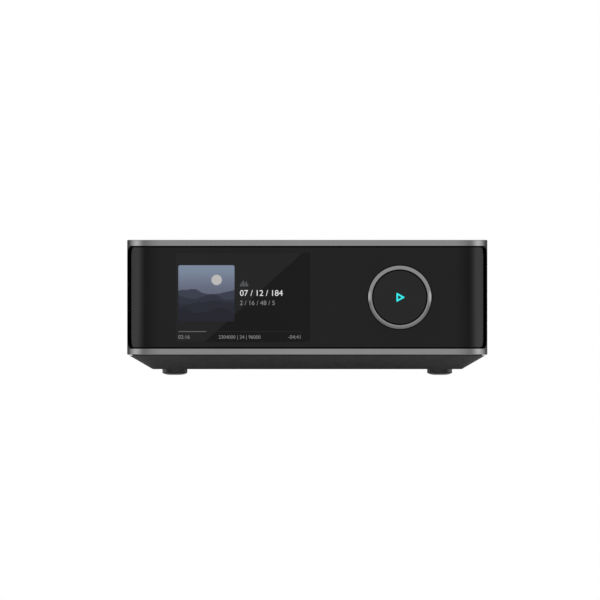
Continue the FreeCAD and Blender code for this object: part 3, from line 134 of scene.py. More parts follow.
class Tree:
    """Adds nodes to a shader or geometry tree."""

    def __init__(self, tree: bpy.types.NodeTree) -> None:
        """Starts from an empty tree."""
        self.tree = tree
        self.tree.nodes.clear()

    def add(self, kind: str, settings: Optional[dict] = None, inputs: Optional[dict] = None) -> Node:
        """Adds a node of any type.

        Args:
            kind: the node's type.
            settings: its properties, set first. "stops" holds a ramp's places and grey levels.
            inputs: values or links by socket name or number.

        Returns:
            The node's outputs.
        """
        node = self.tree.nodes.new(kind)
        for name, value in (settings or {}).items():
            if name == "stops":
                self.stops(node.color_ramp, value)
            else:
                setattr(node, name, value)
        for key, value in (inputs or {}).items():
            if isinstance(value, Link):
                self.tree.links.new(value.socket, node.inputs[key])
            else:
                node.inputs[key].default_value = value
        return Node(self, node)

    @staticmethod
    def stops(ramp: bpy.types.ColorRamp, places: Outline) -> None:
        """Sets a ramp's stops.

        Args:
            ramp: the ramp, with its first stops.
            places: for each stop its place and its grey level.
        """
        while len(ramp.elements) < len(places):
            ramp.elements.new(0.5)
        for element, (place, level) in zip(ramp.elements, places):
            element.position = place
            element.color = (level, level, level, 1.0)

    @cached_property
    def place(self) -> Link:
        """Gives the object coordinates."""
        return self.add("ShaderNodeTexCoord")["Object"]

    def facing(self) -> tuple[Link, Link, Link]:
        """Gives the parts of the surface's direction in object space."""
        return self.split(self.add("ShaderNodeTexCoord")["Normal"])

    def split(self, vector: Optional[Link] = None) -> tuple[Link, Link, Link]:
        """Gives the three parts of a vector, or of the object coordinates."""
        node = self.add("ShaderNodeSeparateXYZ", inputs={0: vector or self.place})
        return node[0], node[1], node[2]

    def stretch(self, scale: Point) -> Link:
        """Scales the object coordinates by three factors."""
        return self.add("ShaderNodeVectorMath", {"operation": "MULTIPLY"}, {0: self.place, 1: scale})[0]

    def noise(self, size: float, detail: float = 2.0, vector: Optional[Link] = None) -> Link:
        """Gives noise from about 0.2 to 0.8, in grains of a size in metres, on the place or a vector."""
        inputs = {"Vector": vector or self.place, "Scale": 1 / size, "Detail": detail}
        return self.add("ShaderNodeTexNoise", inputs=inputs)["Fac"]

    def dots(self, size: float, scatter: float = 1.0) -> Link:
        """Gives the distance from the nearest of scattered points about a size in metres apart."""
        inputs = {"Vector": self.place, "Scale": 1 / size, "Randomness": scatter}
        return self.add("ShaderNodeTexVoronoi", inputs=inputs)["Distance"]

    def mix(self, factor: Operand, first: Input, second: Input, blend: str = "MIX") -> Link:
        """Mixes two colours.

        Args:
            factor: the second colour's share.
            first: the first colour, three numbers or a link.
            second: the second colour, likewise.
            blend: the Mix node's blend type.

        Returns:
            The mixed colour.
        """
        first, second = (value if isinstance(value, Link) else (*value, 1.0) for value in (first, second))
        settings = {"data_type": "RGBA", "blend_type": blend}
        return self.add("ShaderNodeMix", settings, {0: factor, 6: first, 7: second})[2]

    def fade(self, value: Link, low: float, high: float) -> Link:
        """Rises smoothly from 0 at low to 1 at high."""
        settings = {"interpolation_type": "SMOOTHSTEP"}
        return self.add("ShaderNodeMapRange", settings, {0: value, 1: low, 2: high})[0]


def fresh_tree(block: Union[bpy.types.Material, bpy.types.World]) -> Tree:
    """Gives the emptied node tree of a new material or world."""
    block.use_nodes = True
    return Tree(block.node_tree)


def add_object(name: str, data: bpy.types.ID) -> Piece:
    """Adds an object to the scene.

    Args:
        name: the object's name.
        data: its mesh, text, lamp or lens.

    Returns:
        The object.
    """
    added = bpy.data.objects.new(name, data)
    bpy.context.scene.collection.objects.link(added)
    return added


@dataclass(frozen=True)
class Finish:
    """A surface whose colour, gloss and grain vary a little from place to place. Lengths are in metres."""

    name: str
    colour: Colour
    roughness: float = 0.45
    metallic: float = 0.0
    specular: float = 0.5
    coat: float = 0.0
    edge: float = 1.0
    mottle: float = 0.08
    mottle_size: float = 0.012
    smear: float = 0.06
    grain_size: float = 0.0005
    grain_depth: float = 0.000004
    mottle_edge: ClassVar[Pair] = (0.3, 0.7)
    smear_shape: ClassVar[Point] = (1.0, 0.6, 1.4)
    smear_growth: ClassVar[float] = 1.7

    def uneven(self, tree: Tree, level: Link) -> Link:
        """Gives the base colour, darker and lighter by turns.

        Args:
            tree: the material's tree.
            level: the noise that the colour follows.

        Returns:
            The colour.
        """
        light = tuple(min(1.0, part * (1 + self.mottle)) for part in self.colour)
        dark = tuple(part * (1 - self.mottle) for part in self.colour)
        return tree.mix(tree.fade(level, *self.mottle_edge), dark, light)

    def smeared(self, level: Link) -> Link:
        """Gives the roughness, higher and lower as noise goes."""
        return self.roughness + (level - 0.5) * (2 * self.smear)

    def tone(self, tree: Tree) -> Link:
        """Gives the base colour, a little uneven."""
        return self.uneven(tree, tree.noise(self.mottle_size, detail=4.0))

    def gloss(self, tree: Tree) -> Link:
        """Gives the roughness, with handling smears."""
        size, vector = self.mottle_size * self.smear_growth, tree.stretch(self.smear_shape)
        return self.smeared(tree.noise(size, detail=3.0, vector=vector))

    def relief(self, tree: Tree) -> Link:
        """Gives the grain's height in metres."""
        return tree.noise(self.grain_size, detail=3.0) * self.grain_depth

    def glow(self, tree: Tree) -> Optional[Link]:
        """Gives the light that the surface sends out, if any."""
        return None

    def material(self) -> bpy.types.Material:
        """Builds the material once.

        Returns:
            The material, shared by all pieces with this finish.
        """
        title = self.name + "_finish"
        if title in bpy.data.materials:
            return bpy.data.materials[title]
        material = bpy.data.materials.new(title)
        tree = fresh_tree(material)
        bump = tree.add("ShaderNodeBump", inputs={"Distance": 1.0, "Height": self.relief(tree)})
        inputs = {
            "Base Color": self.tone(tree), "Roughness": self.gloss(tree),
            "Metallic": self.metallic, "Specular IOR Level": self.specular,
            "Specular Tint": (self.edge, self.edge, self.edge, 1.0), "Coat Weight": self.coat,
            "Normal": bump["Normal"]}
        glow = self.glow(tree)
        if glow is not None:
            inputs.update({"Emission Color": glow, "Emission Strength": 1.0})
        shader = tree.add("ShaderNodeBsdfPrincipled", inputs=inputs)
        tree.add("ShaderNodeOutputMaterial", inputs={"Surface": shader["BSDF"]})
        return material


@dataclass(frozen=True)
class Blasted(Finish):
    """Bead-blasted, anodised metal with small pits, and painted shade on the cut faces beside the front,
    which are painted black to stand for the dark reveal gap.

    The cut faces' places are in millimetres.
    """

    pit_size: float = 0.0011
    pit_depth: float = 0.6
    cut_from: float = 96.0
    cut_front: float = -91.0
    cut_back: float = -84.0
    cut_middle: float = 43.1
    cut_half: float = 28.9
    cut_forward: float = -0.1
    cut_aside: float = 0.2
    # Painted shade: the black laid on the cut faces for the dark reveal gap.
    cut_colour: Colour = (0.0006, 0.0006, 0.0006)
    cut_roughness: float = 0.5

    def cut(self, tree: Tree) -> Link:
        """Finds the cut faces that carry the painted shade, which lie far out beside the front, look forward
        and don't look sideways.

        Args:
            tree: the material's tree.

        Returns:
            1 on the cut faces, and 0 elsewhere.
        """
        x, y, z = tree.split()
        across, forward, _ = tree.facing()
        beside = (abs(x) > self.cut_from * MM) * (y > self.cut_front * MM) * (y < self.cut_back * MM)
        turned = (forward < self.cut_forward) * (abs(across) < self.cut_aside)
        return turned * beside * (abs(z - self.cut_middle * MM) < self.cut_half * MM)

    def tone(self, tree: Tree) -> Link:
        """Gives the metal's grey, with painted shade in black on the cut faces."""
        return tree.mix(self.cut(tree), super().tone(tree), self.cut_colour)

    def gloss(self, tree: Tree) -> Link:
        """Gives the roughness, higher on the cut faces."""
        return super().gloss(tree) + self.cut(tree) * self.cut_roughness

    def relief(self, tree: Tree) -> Link:
        """Gives fine grain with overlapping pits."""
        pits = tree.dots(self.pit_size) * self.pit_depth
        return (tree.noise(self.grain_size, detail=3.0) + pits) * self.grain_depth


@dataclass(frozen=True)
class Turned(Finish):
    """Metal turned about an axis along Y: fine grooves round that axis."""

    axis: Pair = (0.0, 0.0)
    groove: float = 0.00018

    def radius(self, tree: Tree) -> Link:
        """Gives the distance from the axis."""
        x, _, z = tree.split()
        return (x - self.axis[0] * MM).reach(z - self.axis[1] * MM)

    def tone(self, tree: Tree) -> Link:
        """Gives tool marks that darken and lighten round the axis."""
        outwards = tree.add("ShaderNodeCombineXYZ", inputs={0: self.radius(tree)})[0]
        return self.uneven(tree, tree.noise(self.groove * 2, vector=outwards))

    def relief(self, tree: Tree) -> Link:
        """Gives the grooves' height, with the grain."""
        grooves = self.radius(tree).wave(self.groove)
        return (grooves + tree.noise(self.grain_size)) * self.grain_depth


@dataclass(frozen=True)
class Drawn(Finish):
    """Sheet or extrusion with fine lines along one direction."""

    lines: Point = (1.0, 1.0, 0.04)

    def relief(self, tree: Tree) -> Link:
        """Gives the lines' height."""
        return tree.noise(self.grain_size, detail=4.0, vector=tree.stretch(self.lines)) * self.grain_depth

    def gloss(self, tree: Tree) -> Link:
        """Gives roughness that follows the lines."""
        return self.smeared(tree.noise(self.grain_size * 4, vector=tree.stretch(self.lines)))


@dataclass(frozen=True)
class Screen(Finish):
    """Cover glass of a display whose backlight shows faintly, with a painted reflection: a brighter glare on
    the top left, parted from the rest by a slanting edge.

    The edge's two ends and its blur are in millimetres.
    """

    upper: Colour = (0.0093, 0.0093, 0.0095)
    lower: Colour = (0.0015, 0.0015, 0.0016)
    edge_top: Pair = (-2.9, 67.7)
    edge_foot: Pair = (-57.05, 18.25)
    edge_blur: float = 0.25

    def glow(self, tree: Tree) -> Link:
        """Gives the backlight, with a painted glare reflection that makes it brighter on the top left of the
        edge.

        Args:
            tree: the material's tree.

        Returns:
            The light.
        """
        x, _, z = tree.split()
        (left, foot), blur = self.edge_foot, self.edge_blur * MM
        run, rise = self.edge_top[0] - left, self.edge_top[1] - foot
        side = ((z - foot * MM) * run - (x - left * MM) * rise) / math.hypot(run, rise)
        # Painted reflection: the glare colour on one side of the slanting edge, the plain backlight on the
        # other.
        return tree.mix(tree.fade(side, -blur, blur), self.lower, self.upper)


@dataclass(frozen=True)
class Lit(Finish):
    """Marks that the display lights, with its fine grid of picture elements."""

    light: Colour = (0.8, 0.8, 0.8)
    pitch: float = 0.000153
    grid: float = 0.025

    def gridded(self, tree: Tree, colour: Input) -> Link:
        """Dims a colour by the grid between picture elements.

        Args:
            tree: the material's tree.
            colour: the colour, three numbers or a link.

        Returns:
            The dimmed colour.
        """
        x, _, z = tree.split()
        cells = 1 - (x.wave(self.pitch) + z.wave(self.pitch)) * self.grid
        grey = tree.add("ShaderNodeCombineColor", inputs={0: cells, 1: cells, 2: cells})[0]
        return tree.mix(1.0, grey, colour, "MULTIPLY")

    def glow(self, tree: Tree) -> Link:
        """Gives the marks' light."""
        return self.gridded(tree, self.light)


@dataclass(frozen=True)
class Landscape(Lit):
    """A made-up dusk landscape on the display: sky, pale disc and rows of hills.

    Its corner and side are in millimetres, and places in it are shares of its side. Each hill has its height,
    swell, waves, their start and its colour.
    """

    left: float = -71.6
    foot: float = 29.58
    side: float = 31.3
    sky: tuple[Colour, Colour] = (screen(96, 101, 120), screen(121, 134, 154))
    sky_edge: Pair = (0.5, 1.0)
    disc: Colour = screen(186, 184, 182)
    disc_place: Pair = (0.68, 0.74)
    disc_edge: Pair = (0.085, 0.1)
    scrub_size: float = 0.004
    scrub_height: float = 0.09
    haze: float = 0.012
    hills: tuple[tuple[float, float, float, float, Colour], ...] = (
        (0.53, 0.04, 7.0, 0.4, screen(54, 58, 72)), (0.44, 0.05, 10.0, 2.1, screen(42, 45, 58)),
        (0.34, 0.04, 6.0, 4.0, screen(34, 36, 48)), (0.2, 0.05, 9.0, 1.2, screen(28, 29, 39)))

    def glow(self, tree: Tree) -> Link:
        """Gives the picture from simple waves across its width.

        Args:
            tree: the material's tree.

        Returns:
            The picture's light.
        """
        x, _, z = tree.split()
        across, up = (x / MM - self.left) / self.side, (z / MM - self.foot) / self.side
        colour = tree.mix(tree.fade(up, *self.sky_edge), *self.sky)
        reach = (across - self.disc_place[0]).reach(up - self.disc_place[1])
        colour = tree.mix(1 - tree.fade(reach, *self.disc_edge), colour, self.disc)
        scrub = tree.noise(self.scrub_size, detail=5.0) - 0.5
        for height, swell, rate, start, tint in self.hills:
            ridge = (across * rate + start).sine() * swell + scrub * self.scrub_height + height
            colour = tree.mix(1 - tree.fade(up - ridge, -self.haze, self.haze), colour, tint)
        return self.gridded(tree, colour)


@dataclass(frozen=True)
class Guide(Finish):
    """A clear light guide, lit from behind, a little uneven."""

    light: Colour = screen(27, 228, 228)
    dimmest: float = 0.93
    patch: float = 0.002

    def glow(self, tree: Tree) -> Link:
        """Gives the guide's light."""
        dim = tuple(part * self.dimmest for part in self.light)
        return tree.mix(tree.noise(self.patch), dim, self.light)


@dataclass(frozen=True)
class Board(Finish):
    """Circuit board: solder mask over copper tracks, with tinned pads."""

    track: Colour = (0.035, 0.2, 0.1)
    pad: Colour = (0.62, 0.6, 0.55)
    pitch: float = 0.0052
    track_share: float = 0.4
    track_edge: Pair = (0.2, 0.5)
    track_shape: Point = (1.0, 0.5, 1.0)
    step_size: float = 0.02
    step_snap: float = 0.06
    step_length: float = 0.03
    bare_shape: Point = (1.0, 0.4, 1.0)
    bare_below: float = 0.47
    pad_edge: Pair = (0.12, 0.15)
    pad_scatter: float = 0.6
    foil: float = 0.00002

    def tracks(self, tree: Tree) -> Link:
        """Finds the tracks, which run in steps along the board, with bare stretches.

        Args:
            tree: the material's tree.

        Returns:
            1 on the tracks, and 0 between them.
        """
        x, _, z = tree.split()
        steps = tree.noise(self.step_size, detail=0.0, vector=tree.stretch(self.track_shape))
        step = steps.math("SNAP", self.step_snap) * self.step_length
        lines = tree.fade((x + z + step).wave(self.pitch * self.track_share), *self.track_edge)
        filled = tree.noise(self.pitch * 2, detail=0.0, vector=tree.stretch(self.bare_shape))
        return lines * (filled > self.bare_below)

    def pads(self, tree: Tree) -> Link:
        """Gives 1 on round pads where leads are soldered."""
        return 1 - tree.fade(tree.dots(self.pitch, self.pad_scatter), *self.pad_edge)

    def tone(self, tree: Tree) -> Link:
        """Gives mask, tracks and pads."""
        mask = tree.mix(self.tracks(tree), super().tone(tree), self.track)
        return tree.mix(self.pads(tree), mask, self.pad)

    def relief(self, tree: Tree) -> Link:
        """Gives tracks and pads that stand a little proud."""
        return (self.tracks(tree) + self.pads(tree)) * self.foil


@dataclass(frozen=True)
class Banded(Finish):
    """Pieces of one slot whose colour changes at stated places along X, in millimetres."""

    bands: tuple[tuple[float, Colour], ...] = ()

    def tone(self, tree: Tree) -> Link:
        """Gives each piece its own colour.

        Args:
            tree: the material's tree.

        Returns:
            The colour.
        """
        x, _, _ = tree.split()
        colour = super().tone(tree)
        for start, tint in self.bands:
            colour = tree.mix(x > start * MM, colour, tint)
        return colour


@dataclass(frozen=True)
class Sleeved(Finish):
    """Capacitor can: bare metal top, shrunk sleeve on the side with a pale stripe."""

    top: Colour = (0.62, 0.62, 0.63)
    top_above: float = 0.7
    stripe: Colour = (0.42, 0.44, 0.47)
    stripe_edge: Pair = (0.86, 0.9)

    def tone(self, tree: Tree) -> Link:
        """Gives sleeve, stripe and top from the surface's direction.

        Args:
            tree: the material's tree.

        Returns:
            The colour.
        """
        across, _, up = tree.facing()
        sleeve = tree.mix(tree.fade(across, *self.stripe_edge), super().tone(tree), self.stripe)
        return tree.mix(up > self.top_above, sleeve, self.top)


@dataclass(frozen=True)
class Ribbon(Finish):
    """Flat cable: pale film with fine printed conductors along it."""

    line: Colour = (0.35, 0.32, 0.26)
    line_edge: Pair = (0.1, 0.5)
    pitch: float = 0.0005

    def tone(self, tree: Tree) -> Link:
        """Gives the film with its lines."""
        lines = tree.fade(tree.split()[0].wave(self.pitch), *self.line_edge)
        return tree.mix(lines, super().tone(tree), self.line)


@dataclass(frozen=True)
class Capped(Finish):
    """Glass tube with plated caps at both ends along Y, in millimetres."""

    caps: Pair = (34.2, 44.1)
    plate: Colour = (0.66, 0.65, 0.62)

    def tone(self, tree: Tree) -> Link:
        """Gives glass between the caps."""
        y, (front, back) = tree.split()[1], self.caps
        return tree.mix((y < front * MM) + (y > back * MM), super().tone(tree), self.plate)


BLACK_GLASS = {"colour": (0.001, 0.001, 0.001), "roughness": 0.13, "specular": 0.14, "smear": 0.008,
               "mottle": 0.3, "mottle_size": 0.03, "grain_size": 0.02, "grain_depth": 0.0}

FINISHES: dict[str, Finish] = {finish.name: finish for finish in (
    Blasted("case_aluminium", (0.262, 0.262, 0.262), 0.2, 1.0, edge=0.42, mottle=0.02, mottle_size=0.03,
            smear=0.015, grain_size=0.0003, grain_depth=0.0000009),
    Turned("ring_aluminium", (0.25, 0.25, 0.25), 0.15, 1.0, edge=0.5, mottle=0.06, smear=0.03,
           grain_size=0.0003, grain_depth=0.0000004, axis=RING_AXIS),
    Finish("gloss_black", (0.0015, 0.0015, 0.0016), 0.17, specular=0.22, mottle=0.3, mottle_size=0.03,
           smear=0.008, grain_size=0.02, grain_depth=0.000001),
    Finish("cap_black", (0.0045, 0.0045, 0.0047), 0.15, specular=0.25, mottle=0.15, smear=0.02,
           grain_size=0.0006, grain_depth=0.0000008),
    Finish("base_black", (0.04, 0.04, 0.0404), 0.48, specular=0.17, mottle=0.12, mottle_size=0.004,
           grain_depth=0.000016),
    Finish("foot_rubber", (0.006, 0.006, 0.0062), 0.12, specular=0.42, mottle=0.15, mottle_size=0.003,
           smear=0.03, grain_depth=0.0000015),
    Drawn("black_screw", (0.02, 0.019, 0.018), 0.4, 0.6, mottle=0.2, mottle_size=0.002,
          lines=(1.0, 0.1, 1.0)),
    Finish("liner_black", (0.002, 0.002, 0.002), 0.7, specular=0.06, mottle=0.2, mottle_size=0.004,
           grain_size=0.0006, grain_depth=0.000015),
    Screen("display_glass", **BLACK_GLASS),
    Drawn("display_module", (0.012, 0.013, 0.016), 0.25, mottle=0.1, grain_size=0.0006,
          lines=(0.05, 1.0, 1.0)),
    Drawn("plated_steel", (0.56, 0.56, 0.57), 0.28, 1.0, mottle=0.06, grain_size=0.0006,
          lines=(0.05, 1.0, 0.6)),
    Guide("lit_icon", (0.02, 0.1, 0.1), 0.2, specular=0.3, grain_size=0.001, grain_depth=0.000002),
    Board("board_green", (0.008, 0.075, 0.035), 0.3, mottle=0.15),
    Ribbon("flat_cable", (0.62, 0.58, 0.46), 0.35),
    Turned("brass_spacer", (0.68, 0.48, 0.19), 0.25, 1.0),
    Finish("insulating_film", (0.016, 0.016, 0.017), 0.35, coat=0.2, mottle=0.1, mottle_size=0.006,
           grain_size=0.0012, grain_depth=0.00001),
    Finish("core_grey", (0.02, 0.02, 0.023), 0.55, 0.2, mottle=0.35, mottle_size=0.0016, grain_size=0.0006,
           grain_depth=0.00003),
    Sleeved("capacitor_black", (0.01, 0.012, 0.02), 0.25, mottle=0.1, mottle_size=0.004),
    Capped("fuse_glass", (0.5, 0.56, 0.55), 0.06, specular=0.6, coat=0.5),
    Drawn("heatsink_black", (0.012, 0.012, 0.013), 0.4, 0.7, mottle=0.1, grain_size=0.0008,
          grain_depth=0.000012, lines=(1.0, 0.03, 1.0)),
    Banded("film_capacitor", (0.28, 0.02, 0.012), 0.3, coat=0.3, mottle=0.12, mottle_size=0.004,
           grain_size=0.001, grain_depth=0.00001, bands=((-38.0, (0.32, 0.16, 0.015)),)),
    Finish("panel_black", (0.022, 0.022, 0.023), 0.48, specular=0.35, mottle=0.15, mottle_size=0.0035,
           grain_size=0.0006, grain_depth=0.00003),
    Finish("gold_plate", (0.8, 0.54, 0.2), 0.2, 1.0, mottle=0.06, mottle_size=0.003, smear=0.08,
           grain_size=0.0006),
    Banded("socket_white", (0.7, 0.7, 0.68), 0.3, mottle=0.04, grain_size=0.0008, grain_depth=0.000006,
           bands=((-56.0, (0.4, 0.012, 0.01)), (-40.0, (0.012, 0.012, 0.012)))),
    Finish("socket_black", (0.012, 0.012, 0.013), 0.42, specular=0.4, mottle=0.15, mottle_size=0.003,
           grain_size=0.0006, grain_depth=0.000014),
    Finish("socket_grey", (0.05, 0.05, 0.052), 0.4, mottle=0.12, mottle_size=0.002, grain_depth=0.00001),
    Finish("post_red", (0.42, 0.008, 0.006), 0.22, coat=0.4, mottle=0.12, mottle_size=0.004,
           grain_size=0.001, grain_depth=0.000006),
    Finish("post_black", (0.01, 0.01, 0.011), 0.24, coat=0.3, mottle=0.15, mottle_size=0.004,
           grain_size=0.001, grain_depth=0.000006),
    Lit("title_light", light=screen(232, 232, 234), **BLACK_GLASS),
    Lit("line_light", light=screen(128, 129, 132), **BLACK_GLASS),
    Lit("mark_light", light=screen(96, 97, 100), **BLACK_GLASS),
    Lit("track_light", light=screen(28, 28, 30), **BLACK_GLASS),
    Landscape("picture_light", **BLACK_GLASS),
    Finish("panel_print", (0.55, 0.55, 0.54), 0.6, specular=0.3, mottle=0.1, mottle_size=0.001,
           grain_size=0.0003, grain_depth=0.00001),
)}


class Side(Enum):
    """The sides of the case that carry flat marks, as turns of a drawing in the XY plane."""

    FRONT = Matrix(((1, 0, 0, 0), (0, 0, -1, 0), (0, 1, 0, 0), (0, 0, 0, 1)))
    REAR = Matrix(((-1, 0, 0, 0), (0, 0, 1, 0), (0, 1, 0, 0), (0, 0, 0, 1)))


class Align(Enum):
    """How a row of digits stands on its place."""

    LEFT = "LEFT"
    MIDDLE = "CENTER"
    RIGHT = "RIGHT"


Row = tuple[str, float, float, float, Align]


class Rule:
    """A Geometry Nodes tree with named inputs, run once and turned into a plain mesh."""

    def __init__(self, name: str, inputs: dict[str, str]) -> None:
        """Starts the tree.

        Args:
            name: the tree's name.
            inputs: socket types by name, without the socket type's common start.
        """
        self.group = bpy.data.node_groups.new(name, "GeometryNodeTree")
        sockets = self.group.interface
        for label, kind in {"Geometry": "Geometry", **inputs}.items():
            sockets.new_socket(label, in_out="INPUT", socket_type="NodeSocket" + kind)
        sockets.new_socket("Geometry", in_out="OUTPUT", socket_type="NodeSocketGeometry")
        self.tree = Tree(self.group)
        self.given = self.tree.add("NodeGroupInput")

    def close(self, geometry: Link) -> None:
        """Ends the tree in real geometry with the material that is given.

        Args:
            geometry: what the tree has made.
        """
        real = self.tree.add("GeometryNodeRealizeInstances", inputs={"Geometry": geometry})
        dressed = self.tree.add("GeometryNodeSetMaterial", inputs={
            "Geometry": real["Geometry"], "Material": self.given["Material"]})
        self.tree.add("NodeGroupOutput", inputs={"Geometry": dressed["Geometry"]})

    def run(self, name: str, base: bpy.types.Mesh, values: dict[str, Input], crease: float = 30.0) -> Piece:
        """Runs the tree on a mesh.

        Args:
            name: the new piece's name.
            base: the mesh that the tree starts from.
            values: the inputs by name.
            crease: edges sharper than this many degrees stay sharp.

        Returns:
            The piece, a plain mesh with no modifier.
        """
        piece = add_object(name, base)
        modifier = piece.modifiers.new(name, "NODES")
        modifier.node_group = self.group
        for item in self.group.interface.items_tree:
            if item.item_type == "SOCKET" and item.in_out == "INPUT" and item.name in values:
                modifier[item.identifier] = values[item.name]
        graph = bpy.context.evaluated_depsgraph_get()
        graph.update()
        mesh = bpy.data.meshes.new_from_object(piece.evaluated_get(graph))
        piece.modifiers.remove(modifier)
        piece.data = mesh
        shape = bmesh.new()
        shape.from_mesh(mesh)
        bmesh.ops.recalc_face_normals(shape, faces=shape.faces)
        if shape.calc_volume(signed=True) < 0:
            bmesh.ops.reverse_faces(shape, faces=shape.faces)
        for face in shape.faces:
            face.smooth = True
        shape.to_mesh(mesh)
        shape.free()
        mesh.set_sharp_from_angle(angle=math.radians(crease))
        return piece


class Lathe(Rule):
    """Turns a profile about its axis and sets the result on a grid of places."""

    weld: ClassVar[float] = 0.000002

    def __init__(self) -> None:
        """Builds the tree: a grid rolled round the axis by its row and column."""
        super().__init__("turned_shape", {
            "Profile Points": "Int", "Sides": "Int", "Columns": "Int", "Rows": "Int", "Spread": "Vector",
            "Centre": "Vector", "Tilt": "Vector", "Material": "Material"})
        tree, given = self.tree, self.given
        sides, points = given["Sides"], given["Profile Points"]
        sheet = tree.add("GeometryNodeMeshGrid", inputs={"Vertices X": sides + 1, "Vertices Y": points})
        index = tree.add("GeometryNodeInputIndex")["Index"]
        column = (index / points).math("FLOOR")
        sample = tree.add("GeometryNodeSampleIndex", {"data_type": "FLOAT_VECTOR"}, {
            "Geometry": given["Geometry"], "Value": tree.add("GeometryNodeInputPosition")["Position"],
            "Index": index - column * points})
        radius, _, along = tree.split(sample["Value"])
        angle = column * math.tau / sides
        rolled = tree.add("ShaderNodeCombineXYZ", inputs={
            0: radius * angle.math("COSINE"), 1: radius * angle.sine(), 2: along})
        shape = tree.add("GeometryNodeSetPosition", inputs={"Geometry": sheet["Mesh"], "Position": rolled[0]})
        closed = tree.add("GeometryNodeMergeByDistance", inputs={
            "Geometry": shape["Geometry"], "Distance": self.weld})
        width, depth, _ = tree.split(given["Spread"])
        places = tree.add("GeometryNodeMeshGrid", inputs={
            "Size X": width, "Size Y": depth, "Vertices X": given["Columns"], "Vertices Y": given["Rows"]})
        copies = tree.add("GeometryNodeInstanceOnPoints", inputs={
            "Points": places["Mesh"], "Instance": closed["Geometry"], "Rotation": given["Tilt"]})
        moved = tree.add("GeometryNodeTransform", inputs={
            "Geometry": copies["Instances"], "Translation": given["Centre"]})
        self.close(moved["Geometry"])

    def turn(self, name: str, profile: Outline, finish: Finish, centre: Point, sides: int, crease: float,
             tilt: Point = (0.0, 0.0, 0.0), grid: tuple[int, int] = (1, 1),
             spread: Point = (0.0, 0.0, 0.0)) -> Piece:
        """Turns one profile.

        Args:
            name: the piece's name.
            profile: radius and height along the axis, in millimetres.
            finish: the piece's finish.
            centre: the middle of the places, in millimetres.
            sides: flats round the axis.
            crease: edges sharper than this many degrees stay sharp.
            tilt: turn of each copy about X, Y and Z, in radians.
            grid: columns and rows of copies.
            spread: distance from the first to the last column and row, in millimetres.

        Returns:
            The piece.
        """
        base = bpy.data.meshes.new(name + "_profile")
        base.from_pydata([metres((radius, 0.0, along)) for radius, along in profile], [], [])
        return self.run(name, base, {
            "Profile Points": len(profile), "Sides": sides, "Columns": grid[0], "Rows": grid[1],
            "Spread": metres(spread), "Centre": metres(centre), "Tilt": tilt,
            "Material": finish.material()}, crease)


class ContactRow(Rule):
    """Sweeps a rounded blade along a bend and repeats it in a row along X."""

    rounding: ClassVar[float] = 0.3

    def __init__(self) -> None:
        """Builds the tree: a curve, its section and a line of places."""
        super().__init__("contact_row", {
            "Start": "Vector", "Bend": "Vector", "End": "Vector", "Blade Width": "Float",
            "Blade Height": "Float", "Count": "Int", "Pitch": "Float", "Material": "Material"})
        tree, given = self.tree, self.given
        path = tree.add("GeometryNodeCurveQuadraticBezier", inputs={
            "Resolution": 10, "Start": given["Start"], "Middle": given["Bend"], "End": given["End"]})
        section = tree.add("GeometryNodeCurvePrimitiveQuadrilateral", inputs={
            "Width": given["Blade Height"], "Height": given["Blade Width"]})
        rounded = tree.add("GeometryNodeFilletCurve", {"mode": "POLY"}, {
            "Curve": section["Curve"], "Count": 3, "Radius": given["Blade Height"] * self.rounding,
            "Limit Radius": True})
        blade = tree.add("GeometryNodeCurveToMesh", inputs={
            "Curve": path["Curve"], "Profile Curve": rounded["Curve"], "Fill Caps": True})
        offset = tree.add("ShaderNodeCombineXYZ", inputs={0: given["Pitch"]})
        places = tree.add("GeometryNodeMeshLine", inputs={"Count": given["Count"], "Offset": offset[0]})
        copies = tree.add("GeometryNodeInstanceOnPoints", inputs={
            "Points": places["Mesh"], "Instance": blade["Mesh"]})
        self.close(copies["Instances"])

    def row(self, name: str, finish: Finish, path: Sequence[Point], blade: Pair, count: int,
            pitch: float) -> Piece:
        """Makes one row of contacts.

        Args:
            name: the piece's name.
            finish: the piece's finish.
            path: start, bend and end of the first contact, in millimetres.
            blade: the contact's width and height, in millimetres.
            count: how many contacts.
            pitch: the distance between them, in millimetres.

        Returns:
            The piece.
        """
        start, bend, end = (metres(point) for point in path)
        return self.run(name, bpy.data.meshes.new(name + "_seed"), {
            "Start": start, "Bend": bend, "End": end, "Blade Width": blade[0] * MM,
            "Blade Height": blade[1] * MM, "Count": count, "Pitch": pitch * MM,
            "Material": finish.material()})


